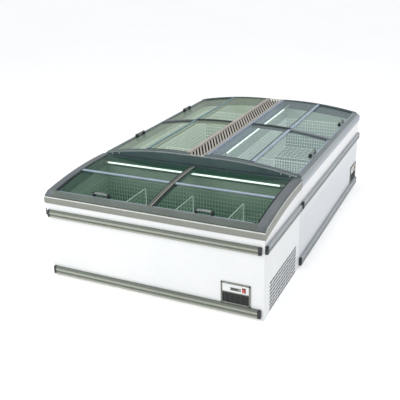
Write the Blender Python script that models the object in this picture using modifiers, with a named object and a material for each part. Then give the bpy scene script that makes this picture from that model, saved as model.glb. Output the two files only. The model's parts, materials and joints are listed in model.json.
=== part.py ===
"""Supermarket island freezer: a head cabinet across the front and two side cabinets back to back behind it.

Every cabinet is built in its own frame: x along its length, y from its front edge to its rear, z up.
An empty for each cabinet then stands it in its place in the island.
"""
import math

import bmesh
import bpy
from mathutils import Euler, Matrix, Vector

# ---- whole object, metres ----
GAP = 0.0003                # clearance between two pieces that touch
HEAD_LENGTH = 1.850
HEAD_DEPTH = 0.865
SIDE_LENGTH = 2.145
SIDE_DEPTH = 0.850
TALL = 1.5                  # height that clears every piece, for cutters open to the sky
DEEP = 0.1                  # how far a cutter starts outside the piece it cuts

# ---- outer casing, insulation and liner ----
SKIN = 0.0015               # sheet steel of the casing
FRONT_WALL = 0.066          # outer face to the inside of the tub
END_WALL = 0.066
REAR_WALL = 0.056
LINER_SHEET = 0.0012
TUB_FLOOR = 0.090
STEP_FLOOR = 0.360          # tub floor over the machine compartment
STEP_LENGTH = 0.440         # from the right end to the step in the tub
BAY_LENGTH = 0.380          # machine compartment
BAY_HEIGHT = 0.300

# ---- curved top frame ----
ARC_STEPS = 12
UNDERSIDE_RADIUS = 4.70
UNDERSIDE_CREST_Y = 0.850
FRONT_OVERHANG = 0.008
CHAMFER_START_DROP = 0.042  # bottom of the sloping front band, under the crown at CHAMFER_END_Y
CHAMFER_END_Y = 0.036
CHAMFER_END_DROP = 0.003
TOP_FRONT_Y = 0.040         # where the curved top begins, behind the sloping band
SHELF_DROP = 0.0185         # ledge that carries the lids, under the crown
SHELF_FRONT_Y = 0.044
OPENING_FRONT_Y = 0.062
REAR_RAIL = 0.062
HEAD_SHELF_END = 0.066      # from the cabinet's end
SIDE_SHELF_END = 0.050
SHELF_WIDTH = 0.016
SHELF_REAR_WIDTH = 0.010
MULLION_HALF = 0.018
MULLION_HEIGHT = 0.030
MULLION_LEDGE = 0.030       # cleared each side of the mullion, underneath
MULLION_SEAT = 0.008        # length of the mullion's full-height foot at each end

# ---- lids and panes ----
PANE_STEPS = 8
LID_TOP_DROP = 0.0115
LID_BOTTOM_DROP = 0.0180
LID_FRONT_Y = 0.0455
LID_REAR_Y = 0.475
LID_TRIM = 0.014
LID_TRIM_DROP = 0.0045
LID_SIDE_CLEARANCE = 0.0095
PANE_TOP_DROP = 0.0010
PANE_BOTTOM_DROP = 0.0070
PANE_FRONT_Y = 0.430
PANE_RIM = 0.008
PANE_REAR_RIM = 0.009
PANE_SIDE_CLEARANCE = 0.0005

# ---- handles and lamps ----
HANDLE_Y = 0.072
HANDLE_HALF = 0.066
HANDLE_RISE = 0.030
HANDLE_RADIUS = 0.008
LAMP_Y = 0.764
LAMP_DROP = 0.049           # middle of the tube, under the top of the crown
LAMP_RADIUS = 0.009
LAMP_CAP_RADIUS = 0.013
LAMP_CAP_LENGTH = 0.035
LAMP_SIDES = 16

# ---- bumper rails ----
RAIL_DEPTH = 0.022
UPPER_RAIL = (0.541, 0.604)
LOWER_RAIL = (0.020, 0.0885)
HEAD_RAIL_MARGIN = 0.017    # from the cabinet's end to the rail's end
SIDE_RAIL_MARGIN = 0.012
RAIL_CHAMFER = 0.006
RAIL_GROOVE_HALF = 0.002
RAIL_GROOVE_DEPTH = 0.003

# ---- control panel and its switch ----
PANEL_WIDTH = 0.233
PANEL_BOTTOM = 0.0900
PANEL_TOP = 0.267
PANEL_PROUD = 0.008
PANEL_FLANGE = 0.010        # overlap of the panel on the casing round its window
PANEL_FACE = 0.005          # thickness of the panel's face
PANEL_WALL = 0.003
PANEL_REACH = 0.026         # depth of the panel's box behind the casing's face
SWITCH_X = 0.066            # from the middle of the panel
SWITCH_Z = 0.221
SWITCH_AXIS_DEPTH = 0.003   # behind the panel's face
SWITCH_HALF_WIDTH = 0.0105
SWITCH_HALF_HEIGHT = 0.0155
SWITCH_NOSE = 0.0085        # how far the rocker's ends stand in front of its axis
SWITCH_DIP = 0.0015
SWITCH_BACK = 0.004
SWITCH_TILT = math.radians(6)
SWITCH_SIDE_CLEARANCE = 0.001
SWITCH_END_CLEARANCE = 0.0025
DISPLAY_X = (-0.038, 0.040)
DISPLAY_Z = (0.207, 0.229)
DISPLAY_DEPTH = 0.0015
PANEL_SLOTS = 5
PANEL_SLOT_START = -0.094
PANEL_SLOT_PITCH = 0.0385
PANEL_SLOT_WIDTH = 0.033
PANEL_SLOT_Z = (0.104, 0.178)

# ---- condensing unit ----
UNIT_MARGIN = 0.020         # from the machine compartment's ends
UNIT_BASE_Y = (0.080, 0.760)
UNIT_PLATE = 0.004
COMPRESSOR_Y = 0.560
COMPRESSOR_FOOT = 0.020
COMPRESSOR_PROFILE = [(0.0, 0.215), (0.045, 0.205), (0.078, 0.170), (0.085, 0.120), (0.085, 0.050),
                      (0.070, 0.020), (0.040, -0.018), (0.0, -0.018)]
CONDENSER_Y = (0.110, 0.190)
CONDENSER_MARGIN = 0.025
CONDENSER_TOP = 0.255
SHROUD_PROFILE = [(0.0, 0.040), (0.092, 0.040), (0.100, -0.002), (0.0, -0.002)]
SHROUD_Y = 0.191
SHROUD_Z = 0.135
BRACKET_HALF = 0.100
BRACKET_Y = (0.300, 0.420)
BRACKET_TOP = 0.060
UNIT_JOIN = 0.002           # how far the unit's pieces sink into its base plate

# ---- wire dividers ----
DIVIDER_THICKNESS = 0.006
DIVIDER_TOP = 0.550
DIVIDER_BARS = 14
DIVIDER_RIM = 0.010
DIVIDER_CLEARANCE = 0.002   # to the tub's walls

# ---- vented end plate ----
LOUVRE_Y = (0.120, 0.780)
LOUVRE_Z = (0.010, 0.256)
LOUVRE_BACKING = 0.006      # overlap of the backing behind the casing
LOUVRE_BACKING_DEPTH = 0.003
LOUVRE_PLATE = 0.002        # how far the plate goes behind the casing's sheet
LOUVRE_ROWS = 8
LOUVRE_COLUMNS = 10
LOUVRE_ROW_PITCH = 0.0315
LOUVRE_SLOT = (0.056, 0.012)
LOUVRE_MARGIN = (0.010, 0.0065)
LOUVRE_END_MARGIN = 0.012

# ---- gable panel and centre grille ----
GABLE_THICKNESS = 0.003
GABLE_BOTTOM = 0.660
GABLE_DROP = 0.004          # under the side cabinets' crown
GABLE_CHAMFER_DROP = 0.007
GRILLE_HALF = 0.075
GRILLE_TOP = 0.881
GRILLE_FLANGE = 0.035
GRILLE_SHEET = 0.002
GRILLE_SLOTS = 40
GRILLE_SLOT_EDGES = (-0.022, 0.068)    # across the grille, towards the left cabinet
GRILLE_SLANT = 1.95         # run along the grille per metre across it
GRILLE_END_MARGIN = 0.020


class Cabinet:
    """One cabinet's own measures and its place in the island."""

    def __init__(self, name, length, depth, crest, crest_y, radius, underside, end_overhang, shelf_end,
                 panel_from_end, rail_margin, dividers, place, turn):
        self.name = name
        self.half = length / 2
        self.depth = depth
        self.crest = crest
        self.crest_y = crest_y
        self.radius = radius
        self.underside = underside
        self.end_overhang = end_overhang
        self.shelf_end = shelf_end
        self.panel_x = length / 2 - panel_from_end
        self.rail_margin = rail_margin
        self.dividers = dividers
        self.place = place
        self.turn = turn
        self.empty = None

    def crown(self, y, drop=0.0):
        """Height of the curved top, a drop measured along the radius below it."""
        radius = self.radius - drop
        return self.crest - self.radius + math.sqrt(radius ** 2 - (y - self.crest_y) ** 2)

    def rim(self, y):
        """Height of the frame's curved underside."""
        run = y - UNDERSIDE_CREST_Y
        return self.underside - UNDERSIDE_RADIUS + math.sqrt(UNDERSIDE_RADIUS ** 2 - run ** 2)


ISLAND_LENGTH = HEAD_DEPTH + GABLE_THICKNESS + 2 * GAP + SIDE_LENGTH
FRONT_Y = -(ISLAND_LENGTH - RAIL_DEPTH) / 2
GABLE_Y = FRONT_Y + HEAD_DEPTH + GAP
SIDE_START_Y = GABLE_Y + GABLE_THICKNESS + GAP
SIDE_MIDDLE_Y = SIDE_START_Y + SIDE_LENGTH / 2
QUARTER_TURN = math.pi / 2

HEAD = Cabinet("head", HEAD_LENGTH, HEAD_DEPTH, crest=0.806, crest_y=0.720, radius=3.90, underside=0.718,
               end_overhang=0.008, shelf_end=HEAD_SHELF_END, panel_from_end=0.2155,
               rail_margin=HEAD_RAIL_MARGIN,
               dividers={"left": -HEAD_LENGTH / 4, "middle": 0.0, "right": HEAD_LENGTH / 4},
               place=(0.0, FRONT_Y), turn=0.0)


def side_cabinet(name, side):
    return Cabinet(name, SIDE_LENGTH, SIDE_DEPTH, crest=0.889, crest_y=0.750, radius=3.60, underside=0.802,
                   end_overhang=0.0, shelf_end=SIDE_SHELF_END, panel_from_end=0.142,
                   rail_margin=SIDE_RAIL_MARGIN, dividers={"middle": 0.0},
                   place=(side * HEAD_LENGTH / 2, SIDE_MIDDLE_Y), turn=side * QUARTER_TURN)


LEFT = side_cabinet("left_side", -1)
RIGHT = side_cabinet("right_side", 1)

# colour, roughness and metallic value of each finish
FINISHES = {
    "white_paint": ((0.93, 0.94, 0.94), 0.35, 0.0),
    "foam": ((0.86, 0.78, 0.55), 0.9, 0.0),
    "liner": ((0.88, 0.90, 0.90), 0.4, 0.0),
    "grey_frame": ((0.34, 0.36, 0.38), 0.4, 0.0),
    "glass": ((0.45, 0.62, 0.55), 0.08, 0.0),
    "handle_grey": ((0.70, 0.72, 0.74), 0.35, 0.6),
    "lamp_white": ((0.95, 0.97, 1.0), 0.3, 0.0),
    "panel_grey": ((0.30, 0.31, 0.32), 0.5, 0.0),
    "switch_red": ((0.75, 0.05, 0.04), 0.35, 0.0),
    "wire_white": ((0.90, 0.91, 0.90), 0.4, 0.0),
    "machine_black": ((0.05, 0.05, 0.055), 0.5, 0.3),
    "rail_grey": ((0.42, 0.43, 0.40), 0.5, 0.0),
    "slate": ((0.10, 0.14, 0.15), 0.5, 0.0),
    "tan": ((0.50, 0.43, 0.38), 0.5, 0.0),
}
WELD = 0.00001
SMOOTH_ANGLE = math.radians(25)


# ---- modelling helpers ----

def clear_scene():
    for thing in list(bpy.data.objects):
        bpy.data.objects.remove(thing)


def new_collection(name, hidden):
    made = bpy.data.collections.new(name)
    bpy.context.scene.collection.children.link(made)
    made.hide_render = hidden
    return made


def material(name, finish):
    colour, roughness, metallic = FINISHES[finish]
    made = bpy.data.materials.new(name)
    made.use_nodes = True
    shader = made.node_tree.nodes["Principled BSDF"]
    shader.inputs["Base Color"].default_value = (*colour, 1.0)
    shader.inputs["Roughness"].default_value = roughness
    shader.inputs["Metallic"].default_value = metallic
    made.diffuse_color = (*colour, 1.0)
    return made


clear_scene()
PARTS = new_collection("island_freezer", False)
CUTTERS = new_collection("cutters", True)


def mesh_object(name, mesh, finish=None):
    """An object in the parts collection if it has a finish, and otherwise a cutter."""
    made = bpy.data.objects.new(name, mesh)
    if finish:
        PARTS.objects.link(made)
        mesh.materials.clear()
        mesh.materials.append(material(name, finish))
    else:
        CUTTERS.objects.link(made)
        made.hide_render = True
        made.display_type = "WIRE"
    return made


def blocks(name, corners, finish=None):
    """Boxes given by their low and high corners, all in one mesh."""
    form = bmesh.new()
    for low, high in corners:
        size = Vector(high) - Vector(low)
        middle = (Vector(high) + Vector(low)) / 2
        placed = Matrix.Translation(middle) @ Matrix.Diagonal((*size, 1.0))
        bmesh.ops.create_cube(form, size=1.0, matrix=placed)
    mesh = bpy.data.meshes.new(name)
    form.to_mesh(mesh)
    form.free()
    return mesh_object(name, mesh, finish)


def keep_beyond(plan, limit):
    """The part of a convex (x, y) outline whose x is above a limit."""
    kept = []
    for (ax, ay), (bx, by) in zip(plan, plan[1:] + plan[:1]):
        if ax >= limit:
            kept.append((ax, ay))
        if (ax >= limit) != (bx >= limit):
            share = (limit - ax) / (bx - ax)
            kept.append((limit, ay + share * (by - ay)))
    return kept


def plates(name, plans, low, high, finish=None):
    """Upright prisms over several (x, y) outlines, all in one mesh."""
    form = bmesh.new()
    for plan in plans:
        base = [form.verts.new((x, y, low)) for x, y in plan]
        top = [form.verts.new((x, y, high)) for x, y in plan]
        form.faces.new(base)
        form.faces.new(top)
        for i in range(len(plan)):
            j = (i + 1) % len(plan)
            form.faces.new((base[i], base[j], top[j], top[i]))
    bmesh.ops.recalc_face_normals(form, faces=form.faces)
    mesh = bpy.data.meshes.new(name)
    form.to_mesh(mesh)
    form.free()
    return mesh_object(name, mesh, finish)


def prism(name, outline, start, end, finish=None):
    """A closed (y, z) outline drawn out along x from start to end."""
    curve = bpy.data.curves.new(name + "_outline", "CURVE")
    curve.dimensions = "2D"
    curve.fill_mode = "BOTH"
    curve.extrude = (end - start) / 2
    line = curve.splines.new("POLY")
    line.points.add(len(outline) - 1)
    for point, (y, z) in zip(line.points, outline):
        point.co = (y, z, 0.0, 1.0)
    line.use_cyclic_u = True
    holder = bpy.data.objects.new(name + "_outline", curve)
    CUTTERS.objects.link(holder)
    bpy.context.view_layer.update()
    seen = holder.evaluated_get(bpy.context.evaluated_depsgraph_get())
    mesh = bpy.data.meshes.new_from_object(seen)
    mesh.name = name
    form = bmesh.new()
    form.from_mesh(mesh)
    bmesh.ops.remove_doubles(form, verts=form.verts, dist=WELD)
    # the curve's own x, y and extrusion become the cabinet's y, z and x
    turn = Matrix(((0, 0, 1, (start + end) / 2), (1, 0, 0, 0), (0, 1, 0, 0), (0, 0, 0, 1)))
    bmesh.ops.transform(form, matrix=turn, verts=form.verts)
    bmesh.ops.recalc_face_normals(form, faces=form.faces)
    form.to_mesh(mesh)
    form.free()
    bpy.data.objects.remove(holder)
    mesh.shade_smooth()
    mesh.set_sharp_from_angle(angle=SMOOTH_ANGLE)
    return mesh_object(name, mesh, finish)


def turned(name, profile, steps, finish=None):
    """A (radius, height) profile, listed from top to bottom, turned about z."""
    form = bmesh.new()
    points = [form.verts.new((radius, 0.0, height)) for radius, height in profile]
    for upper, lower in zip(points, points[1:]):
        form.edges.new((upper, lower))
    mesh = bpy.data.meshes.new(name)
    form.to_mesh(mesh)
    form.free()
    made = mesh_object(name, mesh, finish)
    spin = made.modifiers.new("turn", "SCREW")
    spin.steps = steps
    spin.render_steps = steps
    spin.use_smooth_shade = True
    spin.use_merge_vertices = True
    spin.merge_threshold = 0.0001
    return made


def tube(name, path, radius, finish):
    """A round bar along a path, ends closed."""
    curve = bpy.data.curves.new(name, "CURVE")
    curve.dimensions = "3D"
    curve.bevel_depth = radius
    curve.bevel_resolution = 2
    curve.use_fill_caps = True
    line = curve.splines.new("POLY")
    line.points.add(len(path) - 1)
    for point, place in zip(line.points, path):
        point.co = (*place, 1.0)
    line.use_smooth = True
    made = bpy.data.objects.new(name, curve)
    PARTS.objects.link(made)
    curve.materials.append(material(name, finish))
    return made


def combine(target, other, operation):
    change = target.modifiers.new(operation.lower(), "BOOLEAN")
    change.operation = operation
    change.solver = "EXACT"
    change.object = other
    other.parent = target.parent


def cut(target, *others):
    for other in others:
        combine(target, other, "DIFFERENCE")


def add(target, *others):
    for other in others:
        combine(target, other, "UNION")


def own(cabinet, thing):
    thing.parent = cabinet.empty


def pivot(cabinet, name, place):
    """An empty on a moving piece's joint axis."""
    made = bpy.data.objects.new(name + "_axis", None)
    PARTS.objects.link(made)
    made.parent = cabinet.empty
    made.location = place
    return made


def steps_between(start, end, count):
    return [start + (end - start) * step / count for step in range(count + 1)]


# ---- body: casing, foam and liner ----

def body_outline(cabinet, inset, floor):
    """Side view of the body: flat floor, upright front and rear, curved rim."""
    front = inset
    rear = cabinet.depth - inset
    rim = [(y, cabinet.rim(y) - GAP) for y in steps_between(front, rear, ARC_STEPS)]
    return [(rear, floor), (front, floor)] + rim


def outer_casing(cabinet):
    """Sheet box with a floor, open at the top, with a window for the control panel."""
    name = cabinet.name + "_outer_casing"
    casing = prism(name, body_outline(cabinet, 0.0, 0.0), -cabinet.half, cabinet.half, "white_paint")
    rear = cabinet.depth - SKIN
    hollow = prism(name + "_hollow", [(rear, SKIN), (SKIN, SKIN), (SKIN, TALL), (rear, TALL)],
                   SKIN - cabinet.half, cabinet.half - SKIN)
    window_half = PANEL_WIDTH / 2 - PANEL_FLANGE
    window = blocks(name + "_window", [(
        (cabinet.panel_x - window_half, -DEEP, PANEL_BOTTOM + PANEL_FLANGE),
        (cabinet.panel_x + window_half, FRONT_WALL / 2, PANEL_TOP - PANEL_FLANGE))])
    own(cabinet, casing)
    cut(casing, hollow, window)
    if cabinet is HEAD:
        cut(casing, blocks(name + "_louvre_hole", [(
            (cabinet.half - END_WALL / 2, LOUVRE_Y[0], LOUVRE_Z[0]),
            (cabinet.half + DEEP, LOUVRE_Y[1], LOUVRE_Z[1]))]))


def tub_space(cabinet, name, grow, top):
    """The tub's inside, stepped up over the machine compartment, grown outwards on every side."""
    low_x = END_WALL - grow - cabinet.half
    high_x = cabinet.half - END_WALL + grow
    step_x = cabinet.half - STEP_LENGTH + grow
    outline = [(low_x, top), (low_x, TUB_FLOOR - grow), (step_x, TUB_FLOOR - grow),
               (step_x, STEP_FLOOR - grow), (high_x, STEP_FLOOR - grow), (high_x, top)]
    space = prism(name, outline, REAR_WALL - grow - cabinet.depth, grow - FRONT_WALL)
    space.rotation_euler = Euler((0.0, 0.0, -QUARTER_TURN))
    return space


def insulation(cabinet):
    """Foam that fills the walls between casing and liner, cleared over the machine compartment."""
    name = cabinet.name + "_insulation"
    edge = SKIN + GAP
    foam = prism(name, body_outline(cabinet, edge, edge), edge - cabinet.half, cabinet.half - edge, "foam")
    tub = tub_space(cabinet, name + "_tub", LINER_SHEET + GAP, TALL)
    bay = blocks(name + "_bay", [((cabinet.half - BAY_LENGTH, -DEEP, -DEEP),
                                  (cabinet.half + DEEP, cabinet.depth + DEEP, BAY_HEIGHT))])
    own(cabinet, foam)
    cut(foam, tub, bay)


def inner_liner(cabinet):
    """Stepped sheet tub, open at the top."""
    name = cabinet.name + "_inner_liner"
    block_edge = END_WALL / 3
    liner = prism(name, body_outline(cabinet, block_edge, block_edge),
                  block_edge - cabinet.half, cabinet.half - block_edge, "liner")
    own(cabinet, liner)
    combine(liner, tub_space(cabinet, name + "_outside", LINER_SHEET, TALL), "INTERSECT")
    cut(liner, tub_space(cabinet, name + "_inside", 0.0, TALL + DEEP))


# ---- curved top ----

def bays(cabinet, margin):
    """The x range of the left and right bay, narrowed by a margin at both ends."""
    outer = cabinet.half - cabinet.shelf_end - margin
    inner = MULLION_HALF + margin
    return {"left": (-outer, -inner), "right": (inner, outer)}


def crown_band(cabinet, front, rear, upper_drop, lower_drop, steps):
    """Side view of a curved slab between two depths below the crown."""
    upper = [(y, cabinet.crown(y, upper_drop)) for y in steps_between(front, rear, steps)]
    lower = [(y, cabinet.crown(y, lower_drop)) for y in steps_between(rear, front, steps)]
    return upper + lower


def top_frame(cabinet):
    """Moulded frame round two bays, with a ledge in each bay for its lid and pane, and a mullion between."""
    name = cabinet.name + "_top_frame"
    band_top = cabinet.crown(CHAMFER_END_Y)
    front = [(-FRONT_OVERHANG, cabinet.rim(0.0)), (-FRONT_OVERHANG, band_top - CHAMFER_START_DROP),
             (CHAMFER_END_Y, band_top - CHAMFER_END_DROP)]
    top = [(y, cabinet.crown(y)) for y in steps_between(TOP_FRONT_Y, cabinet.depth, ARC_STEPS)]
    underside = [(y, cabinet.rim(y)) for y in steps_between(cabinet.depth, 0.0, ARC_STEPS)]
    reach = cabinet.half + cabinet.end_overhang
    frame = prism(name, front + top + underside, -reach, reach, "grey_frame")
    own(cabinet, frame)

    rear = cabinet.depth - REAR_RAIL
    ledge_rear = rear + SHELF_REAR_WIDTH
    ledge = [(y, cabinet.crown(y, SHELF_DROP)) for y in steps_between(SHELF_FRONT_Y, ledge_rear, ARC_STEPS)]
    recess = [(ledge_rear, TALL), (SHELF_FRONT_Y, TALL)] + ledge
    for side, (start, end) in bays(cabinet, 0.0).items():
        cut(frame, prism(name + "_recess_" + side, recess, start, end))
    openings = [((start, OPENING_FRONT_Y, TUB_FLOOR), (end, rear, TALL))
                for start, end in bays(cabinet, SHELF_WIDTH).values()]
    relief_front = OPENING_FRONT_Y + MULLION_SEAT
    relief = [(y, cabinet.crown(y, MULLION_HEIGHT))
              for y in steps_between(relief_front, rear - MULLION_SEAT, ARC_STEPS)]
    relief_half = MULLION_HALF + MULLION_LEDGE
    under_mullion = prism(name + "_mullion_relief",
                          [(rear - MULLION_SEAT, TUB_FLOOR), (relief_front, TUB_FLOOR)] + relief,
                          -relief_half, relief_half)
    cut(frame, blocks(name + "_openings", openings), under_mullion)


def swing(cabinet, thing):
    """Hang a piece on the axis of the curved top, far below the cabinet, about which the lids slide."""
    axis = pivot(cabinet, thing.name, (0.0, cabinet.crest_y, cabinet.crest - cabinet.radius))
    thing.parent = axis
    thing.location = thing.location - axis.location


def front_lid(cabinet, side):
    """Curved sliding pane with a raised front bar, carried on the ledge."""
    start, end = bays(cabinet, LID_SIDE_CLEARANCE)[side]
    bar_end = LID_FRONT_Y + LID_TRIM
    bar = [(y, cabinet.crown(y, LID_TRIM_DROP)) for y in (LID_FRONT_Y, bar_end)]
    glass = crown_band(cabinet, bar_end, LID_REAR_Y, LID_TOP_DROP, LID_BOTTOM_DROP, PANE_STEPS)
    foot = [(LID_FRONT_Y, cabinet.crown(LID_FRONT_Y, LID_BOTTOM_DROP))]
    lid = prism(cabinet.name + "_front_lid_" + side, bar + glass + foot, start, end, "glass")
    swing(cabinet, lid)


def lid_handle(cabinet, side):
    """Bar handle: two legs with rounded shoulders and a level grip, leaning with the curved glass."""
    start, end = bays(cabinet, 0.0)[side]
    half = HANDLE_HALF
    rise = HANDLE_RISE
    right_leg = [(half, 0.0, 0.0), (half, 0.0, rise * 0.55), (half * 0.9, 0.0, rise * 0.9),
                 (half * 0.75, 0.0, rise)]
    left_leg = [(-x, y, z) for x, y, z in right_leg]
    path = left_leg + right_leg[::-1]
    handle = tube(cabinet.name + "_lid_handle_" + side, path, HANDLE_RADIUS, "handle_grey")
    lean = math.asin((cabinet.crest_y - HANDLE_Y) / cabinet.radius)
    handle.location = ((start + end) / 2, HANDLE_Y, cabinet.crown(HANDLE_Y, LID_TOP_DROP - 2 * GAP))
    handle.rotation_euler = Euler((lean, 0.0, 0.0))
    swing(cabinet, handle)


def rear_pane(cabinet, side):
    """Fixed pane standing on rims at its sides and rear, with room for the front lid to slide under it."""
    name = cabinet.name + "_rear_pane_" + side
    start, end = bays(cabinet, PANE_SIDE_CLEARANCE)[side]
    rear = cabinet.depth - REAR_RAIL + SHELF_REAR_WIDTH - PANE_SIDE_CLEARANCE
    foot = SHELF_DROP - GAP
    block = crown_band(cabinet, PANE_FRONT_Y, rear, PANE_TOP_DROP, foot, PANE_STEPS)
    space = crown_band(cabinet, PANE_FRONT_Y - DEEP, rear - PANE_REAR_RIM, PANE_BOTTOM_DROP, 2 * foot,
                       PANE_STEPS)
    pane = prism(name, block, start, end, "glass")
    own(cabinet, pane)
    cut(pane, prism(name + "_space", space, start + PANE_RIM, end - PANE_RIM))


def lamp(cabinet):
    """Tube lamp with a wider cap at each end, lying under the rear of the frame."""
    half = cabinet.half - cabinet.shelf_end - SHELF_WIDTH - GAP
    inner = half - LAMP_CAP_LENGTH
    profile = [(0.0, half), (LAMP_CAP_RADIUS, half), (LAMP_CAP_RADIUS, inner), (LAMP_RADIUS, inner),
               (LAMP_RADIUS, -inner), (LAMP_CAP_RADIUS, -inner), (LAMP_CAP_RADIUS, -half), (0.0, -half)]
    made = turned(cabinet.name + "_lamp", profile, LAMP_SIDES, "lamp_white")
    made.rotation_euler = Euler((0.0, QUARTER_TURN, 0.0))
    made.location = (0.0, LAMP_Y, cabinet.crest - LAMP_DROP)
    own(cabinet, made)


# ---- controls and machinery ----

def control_panel(cabinet):
    """Moulded panel over a window in the casing, with a display pocket, a switch hole and an air grille."""
    name = cabinet.name + "_control_panel"
    middle = cabinet.panel_x
    half = PANEL_WIDTH / 2
    face = ((middle - half, -PANEL_PROUD, PANEL_BOTTOM), (middle + half, -GAP, PANEL_TOP))
    panel = blocks(name, [face], "panel_grey")
    own(cabinet, panel)

    inset = PANEL_FLANGE + GAP
    box = blocks(name + "_box", [((middle - half + inset, -PANEL_PROUD / 2, PANEL_BOTTOM + inset),
                                  (middle + half - inset, PANEL_REACH, PANEL_TOP - inset))])
    wall = inset + PANEL_WALL
    back_of_face = PANEL_FACE - PANEL_PROUD
    hollow = blocks(name + "_hollow", [((middle - half + wall, back_of_face, PANEL_BOTTOM + wall),
                                        (middle + half - wall, 2 * PANEL_REACH, PANEL_TOP - wall))])
    switch_half = SWITCH_HALF_WIDTH + SWITCH_SIDE_CLEARANCE
    switch_rise = SWITCH_HALF_HEIGHT + SWITCH_END_CLEARANCE
    switch_x = middle + SWITCH_X
    switch_hole = blocks(name + "_switch_hole", [((switch_x - switch_half, -DEEP, SWITCH_Z - switch_rise),
                                                  (switch_x + switch_half, 0.0, SWITCH_Z + switch_rise))])
    pocket_floor = DISPLAY_DEPTH - PANEL_PROUD
    display = blocks(name + "_display", [((middle + DISPLAY_X[0], -DEEP, DISPLAY_Z[0]),
                                          (middle + DISPLAY_X[1], pocket_floor, DISPLAY_Z[1]))])
    slots = []
    for column in range(PANEL_SLOTS):
        start = middle + PANEL_SLOT_START + column * PANEL_SLOT_PITCH
        slots.append(((start, -DEEP, PANEL_SLOT_Z[0]), (start + PANEL_SLOT_WIDTH, 0.0, PANEL_SLOT_Z[1])))
    add(panel, box)
    cut(panel, hollow, switch_hole, display, blocks(name + "_slots", slots))


def power_switch(cabinet):
    """Rocker that tips about a level axis through its middle."""
    name = cabinet.name + "_power_switch"
    place = (cabinet.panel_x + SWITCH_X, SWITCH_AXIS_DEPTH - PANEL_PROUD, SWITCH_Z)
    outline = [(SWITCH_BACK, -SWITCH_HALF_HEIGHT), (-SWITCH_NOSE, -SWITCH_HALF_HEIGHT),
               (SWITCH_DIP - SWITCH_NOSE, 0.0), (-SWITCH_NOSE, SWITCH_HALF_HEIGHT),
               (SWITCH_BACK, SWITCH_HALF_HEIGHT)]
    rocker = prism(name, outline, -SWITCH_HALF_WIDTH, SWITCH_HALF_WIDTH, "switch_red")
    rocker.parent = pivot(cabinet, name, place)
    rocker.rotation_euler = Euler((SWITCH_TILT, 0.0, 0.0))


def condensing_unit(cabinet):
    """Compressor, finned condenser, fan shroud and bracket on one base plate."""
    name = cabinet.name + "_condensing_unit"
    left = cabinet.half - BAY_LENGTH + UNIT_MARGIN
    right = cabinet.half - UNIT_MARGIN
    middle = (left + right) / 2
    bottom = SKIN + GAP
    foot = bottom + UNIT_JOIN
    base = blocks(name, [((left, UNIT_BASE_Y[0], bottom), (right, UNIT_BASE_Y[1], bottom + UNIT_PLATE))],
                  "machine_black")
    own(cabinet, base)
    compressor = turned(name + "_compressor", COMPRESSOR_PROFILE, 16)
    compressor.location = (middle, COMPRESSOR_Y, bottom + COMPRESSOR_FOOT)
    condenser = blocks(name + "_condenser", [((left + CONDENSER_MARGIN, CONDENSER_Y[0], foot),
                                              (right - CONDENSER_MARGIN, CONDENSER_Y[1], CONDENSER_TOP))])
    shroud = turned(name + "_fan_shroud", SHROUD_PROFILE, 20)
    shroud.rotation_euler = Euler((-QUARTER_TURN, 0.0, 0.0))
    shroud.location = (middle, SHROUD_Y, SHROUD_Z)
    bracket = blocks(name + "_bracket", [((middle - BRACKET_HALF, BRACKET_Y[0], foot),
                                          (middle + BRACKET_HALF, BRACKET_Y[1], BRACKET_TOP))])
    add(base, compressor, condenser, shroud, bracket)


def wire_divider(cabinet, place, x):
    """Upright grid across the tub: a rim with upright bars."""
    name = cabinet.name + "_wire_divider_" + place
    low_y = FRONT_WALL + DIVIDER_CLEARANCE
    high_y = cabinet.depth - REAR_WALL - DIVIDER_CLEARANCE
    bottom = TUB_FLOOR + GAP
    half = DIVIDER_THICKNESS / 2
    grid = blocks(name, [((x - half, low_y, bottom), (x + half, high_y, DIVIDER_TOP))], "wire_white")
    pitch = (high_y - low_y - DIVIDER_THICKNESS) / DIVIDER_BARS
    slots = []
    for bar in range(DIVIDER_BARS):
        start = low_y + DIVIDER_THICKNESS + bar * pitch
        slots.append(((x - DIVIDER_THICKNESS, start, bottom + DIVIDER_RIM),
                      (x + DIVIDER_THICKNESS, start + pitch - DIVIDER_THICKNESS, DIVIDER_TOP - DIVIDER_RIM)))
    own(cabinet, grid)
    cut(grid, blocks(name + "_slots", slots))


# ---- rails, end plate, gable and centre grille ----

def rail_outline(heights):
    """Bumper rail in section: chamfered face with two grooves."""
    bottom, top = heights
    third = (top - bottom) / 3
    face = -RAIL_DEPTH
    floor = face + RAIL_GROOVE_DEPTH
    outline = [(-GAP, bottom), (face + RAIL_CHAMFER, bottom), (face, bottom + RAIL_CHAMFER)]
    for groove in (bottom + third, bottom + 2 * third):
        outline += [(face, groove - RAIL_GROOVE_HALF), (floor, groove - RAIL_GROOVE_HALF / 2),
                    (floor, groove + RAIL_GROOVE_HALF / 2), (face, groove + RAIL_GROOVE_HALF)]
    return outline + [(face, top - RAIL_CHAMFER), (face + RAIL_CHAMFER, top), (-GAP, top)]


def bumper_rails(cabinet):
    reach = cabinet.half - cabinet.rail_margin
    for level, heights in (("upper", UPPER_RAIL), ("lower", LOWER_RAIL)):
        name = cabinet.name + "_" + level + "_rail"
        own(cabinet, prism(name, rail_outline(heights), -reach, reach, "rail_grey"))


def head_end_rails():
    reach = HEAD_DEPTH / 2 - SIDE_RAIL_MARGIN
    for side, sign in (("left", -1), ("right", 1)):
        rail = prism("head_" + side + "_end_rail", rail_outline(UPPER_RAIL), -reach, reach, "rail_grey")
        own(HEAD, rail)
        rail.rotation_euler = Euler((0.0, 0.0, sign * QUARTER_TURN))
        rail.location = (sign * HEAD.half, HEAD_DEPTH / 2, 0.0)


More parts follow.
